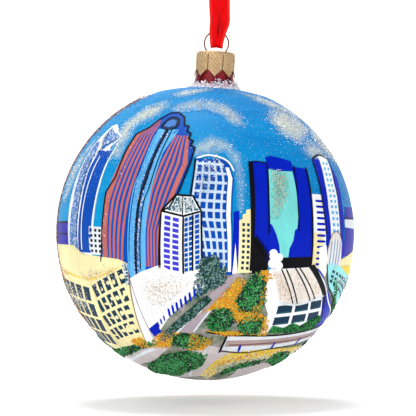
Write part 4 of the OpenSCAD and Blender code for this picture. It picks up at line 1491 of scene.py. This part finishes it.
def looseSnow(plan, material):
    chance = random.Random(plan["seed"])
    wide = plan["outside"] - plan["inside"]
    points = []
    for _ in range(plan["grains"]):
        angle = chance.uniform(0, math.tau)
        share = chance.random() ** 1.2
        radius = plan["inside"] + wide * share
        # the heap is highest at the front right and thins out elsewhere
        heap = 0.32 + 0.45 * math.cos(angle - plan["highSide"]) + 0.15 * math.sin(5 * angle)
        heap = max(0.0, heap + 0.1 * math.sin(11 * angle))
        top = (0.35 + 2.1 * heap) * mm * (1 - share ** 2)
        if chance.random() < 0.12 + 0.8 * heap:
            points.append(snowPoint(radius, angle, underSnow(radius, plan) + chance.uniform(0.0, top)))
    mesh = bpy.data.meshes.new("grainPlaces")
    mesh.from_pydata(points, [], [])
    return throughTree(mesh, snowTree(), {"Size": plan["size"], "Seed": plan["seed"], "Material": material})


def snowBed(plan, material):
    # the bed under the loose grains
    bed = bmesh.new()
    rows, count = plan["bedRows"], plan["bedCount"]
    rings = []
    for share in [i / (rows - 1) for i in range(rows)]:
        radius = plan["inside"] + (plan["outside"] - plan["inside"]) * share
        ring = []
        for angle in [math.tau * k / count for k in range(count)]:
            heap = 0.2 + 0.35 * math.cos(angle - plan["highSide"])
            heap += 0.2 * math.sin(5 * angle) * math.sin(3 * angle + 1)
            lift = (1.3 * heap + 0.02) * math.sin(math.pi * (0.08 + 0.92 * share)) * mm
            if share > 0.99:
                lift -= 0.1 * mm
            ring.append(bed.verts.new(snowPoint(radius, angle, underSnow(radius, plan) + lift)))
        rings.append(ring)
    deep = Vector((0, 0, plan["bedDeep"]))
    rings += [[bed.verts.new(vert.co - deep) for vert in ring] for ring in (rings[-1], rings[0])]
    for near, far in zip(rings, rings[1:] + rings[:1]):
        for k in range(count):
            n = (k + 1) % count
            bed.faces.new((near[k], far[k], far[n], near[n]))
    bmesh.ops.recalc_face_normals(bed, faces=bed.faces)
    mesh = meshOf("bed", bed, False)
    mesh.materials.append(material)
    return mesh


def makeSnow(plan):
    material = grainMaterial("snowGrains", plan["tones"], 0.1, 0.22)
    snow = placed("neckSnow", joinMeshes("neckSnow", [looseSnow(plan, material), snowBed(plan, material)]))
    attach(snow, "ball")
    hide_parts("neck_snow")


makeSnow(snowPlan)
print("snow ready")

# crown cap: a pressed sheet with an embossed leaf lattice, and the sprung wire through it

capPlan = {"lattice": 34, "rise": 2000, "sway": 5, "emboss": 0.11 * mm}


def goldSheet(plan):
    finish = Finish("pressedGold")
    place = finish.place()
    split = finish.add("ShaderNodeSeparateXYZ", {0: place}).outputs
    around = finish.reckon("MULTIPLY", finish.reckon("ARCTAN2", split["X"], split["Y"]), plan["lattice"] / 2)
    sway = finish.reckon("MULTIPLY", finish.noise(place, 300, 2.0), plan["sway"])
    height = finish.reckon("ADD", finish.reckon("MULTIPLY", split["Z"], plan["rise"]), sway)
    leaning = [finish.reckon("ABSOLUTE", finish.reckon("SINE", finish.reckon(way, around, height)))
               for way in ("ADD", "SUBTRACT")]
    lattice = finish.reckon("MINIMUM", *leaning)
    wear = finish.noise(place, 520, 4.0, 0.7)
    fine = finish.noise(place, 2400, 2.0)
    # painted shade: darker in the lattice's pressed grooves and lighter on its raised parts
    tint = finish.ramp(lattice, [(0.05, colour(170, 134, 84)), (0.3, colour(198, 166, 116)),
                                 (0.8, colour(218, 190, 144))])
    tint = finish.mix(finish.ramp(wear, [(0.4, grey(0)), (0.7, grey(0.6))]), tint, colour(176, 132, 96))
    finish.give({"Base Color": tint, "Metallic": 0.45,
                 "Roughness": finish.ramp(fine, [(0.3, grey(0.38)), (0.7, grey(0.6))])})
    finish.bump(finish.reckon("ADD", lattice, finish.reckon("MULTIPLY", fine, 0.15)), 0.8, plan["emboss"])
    return finish.material


def copperWire():
    finish = Finish("drawnCopper")
    stain = finish.noise(finish.place(), 620, 4.0, 0.7)
    drawn = finish.noise(finish.place((2500, 2500, 500)), 1.0, 2.0)
    tint = finish.ramp(stain, [(0.3, colour(76, 40, 30)), (0.55, colour(130, 76, 54)),
                               (0.75, colour(172, 112, 82))])
    finish.give({"Base Color": tint, "Metallic": 0.75,
                 "Roughness": finish.ramp(drawn, [(0.3, grey(0.25)), (0.7, grey(0.45))])})
    finish.bump(drawn, 0.25, 0.03 * mm)
    return finish.material


for node, material in (("crown_cap", goldSheet(capPlan)), ("hanger_wire", copperWire())):
    bpy.data.objects[node].data.materials.clear()
    bpy.data.objects[node].data.materials.append(material)
print("cap and wire ready")

print("all ready")
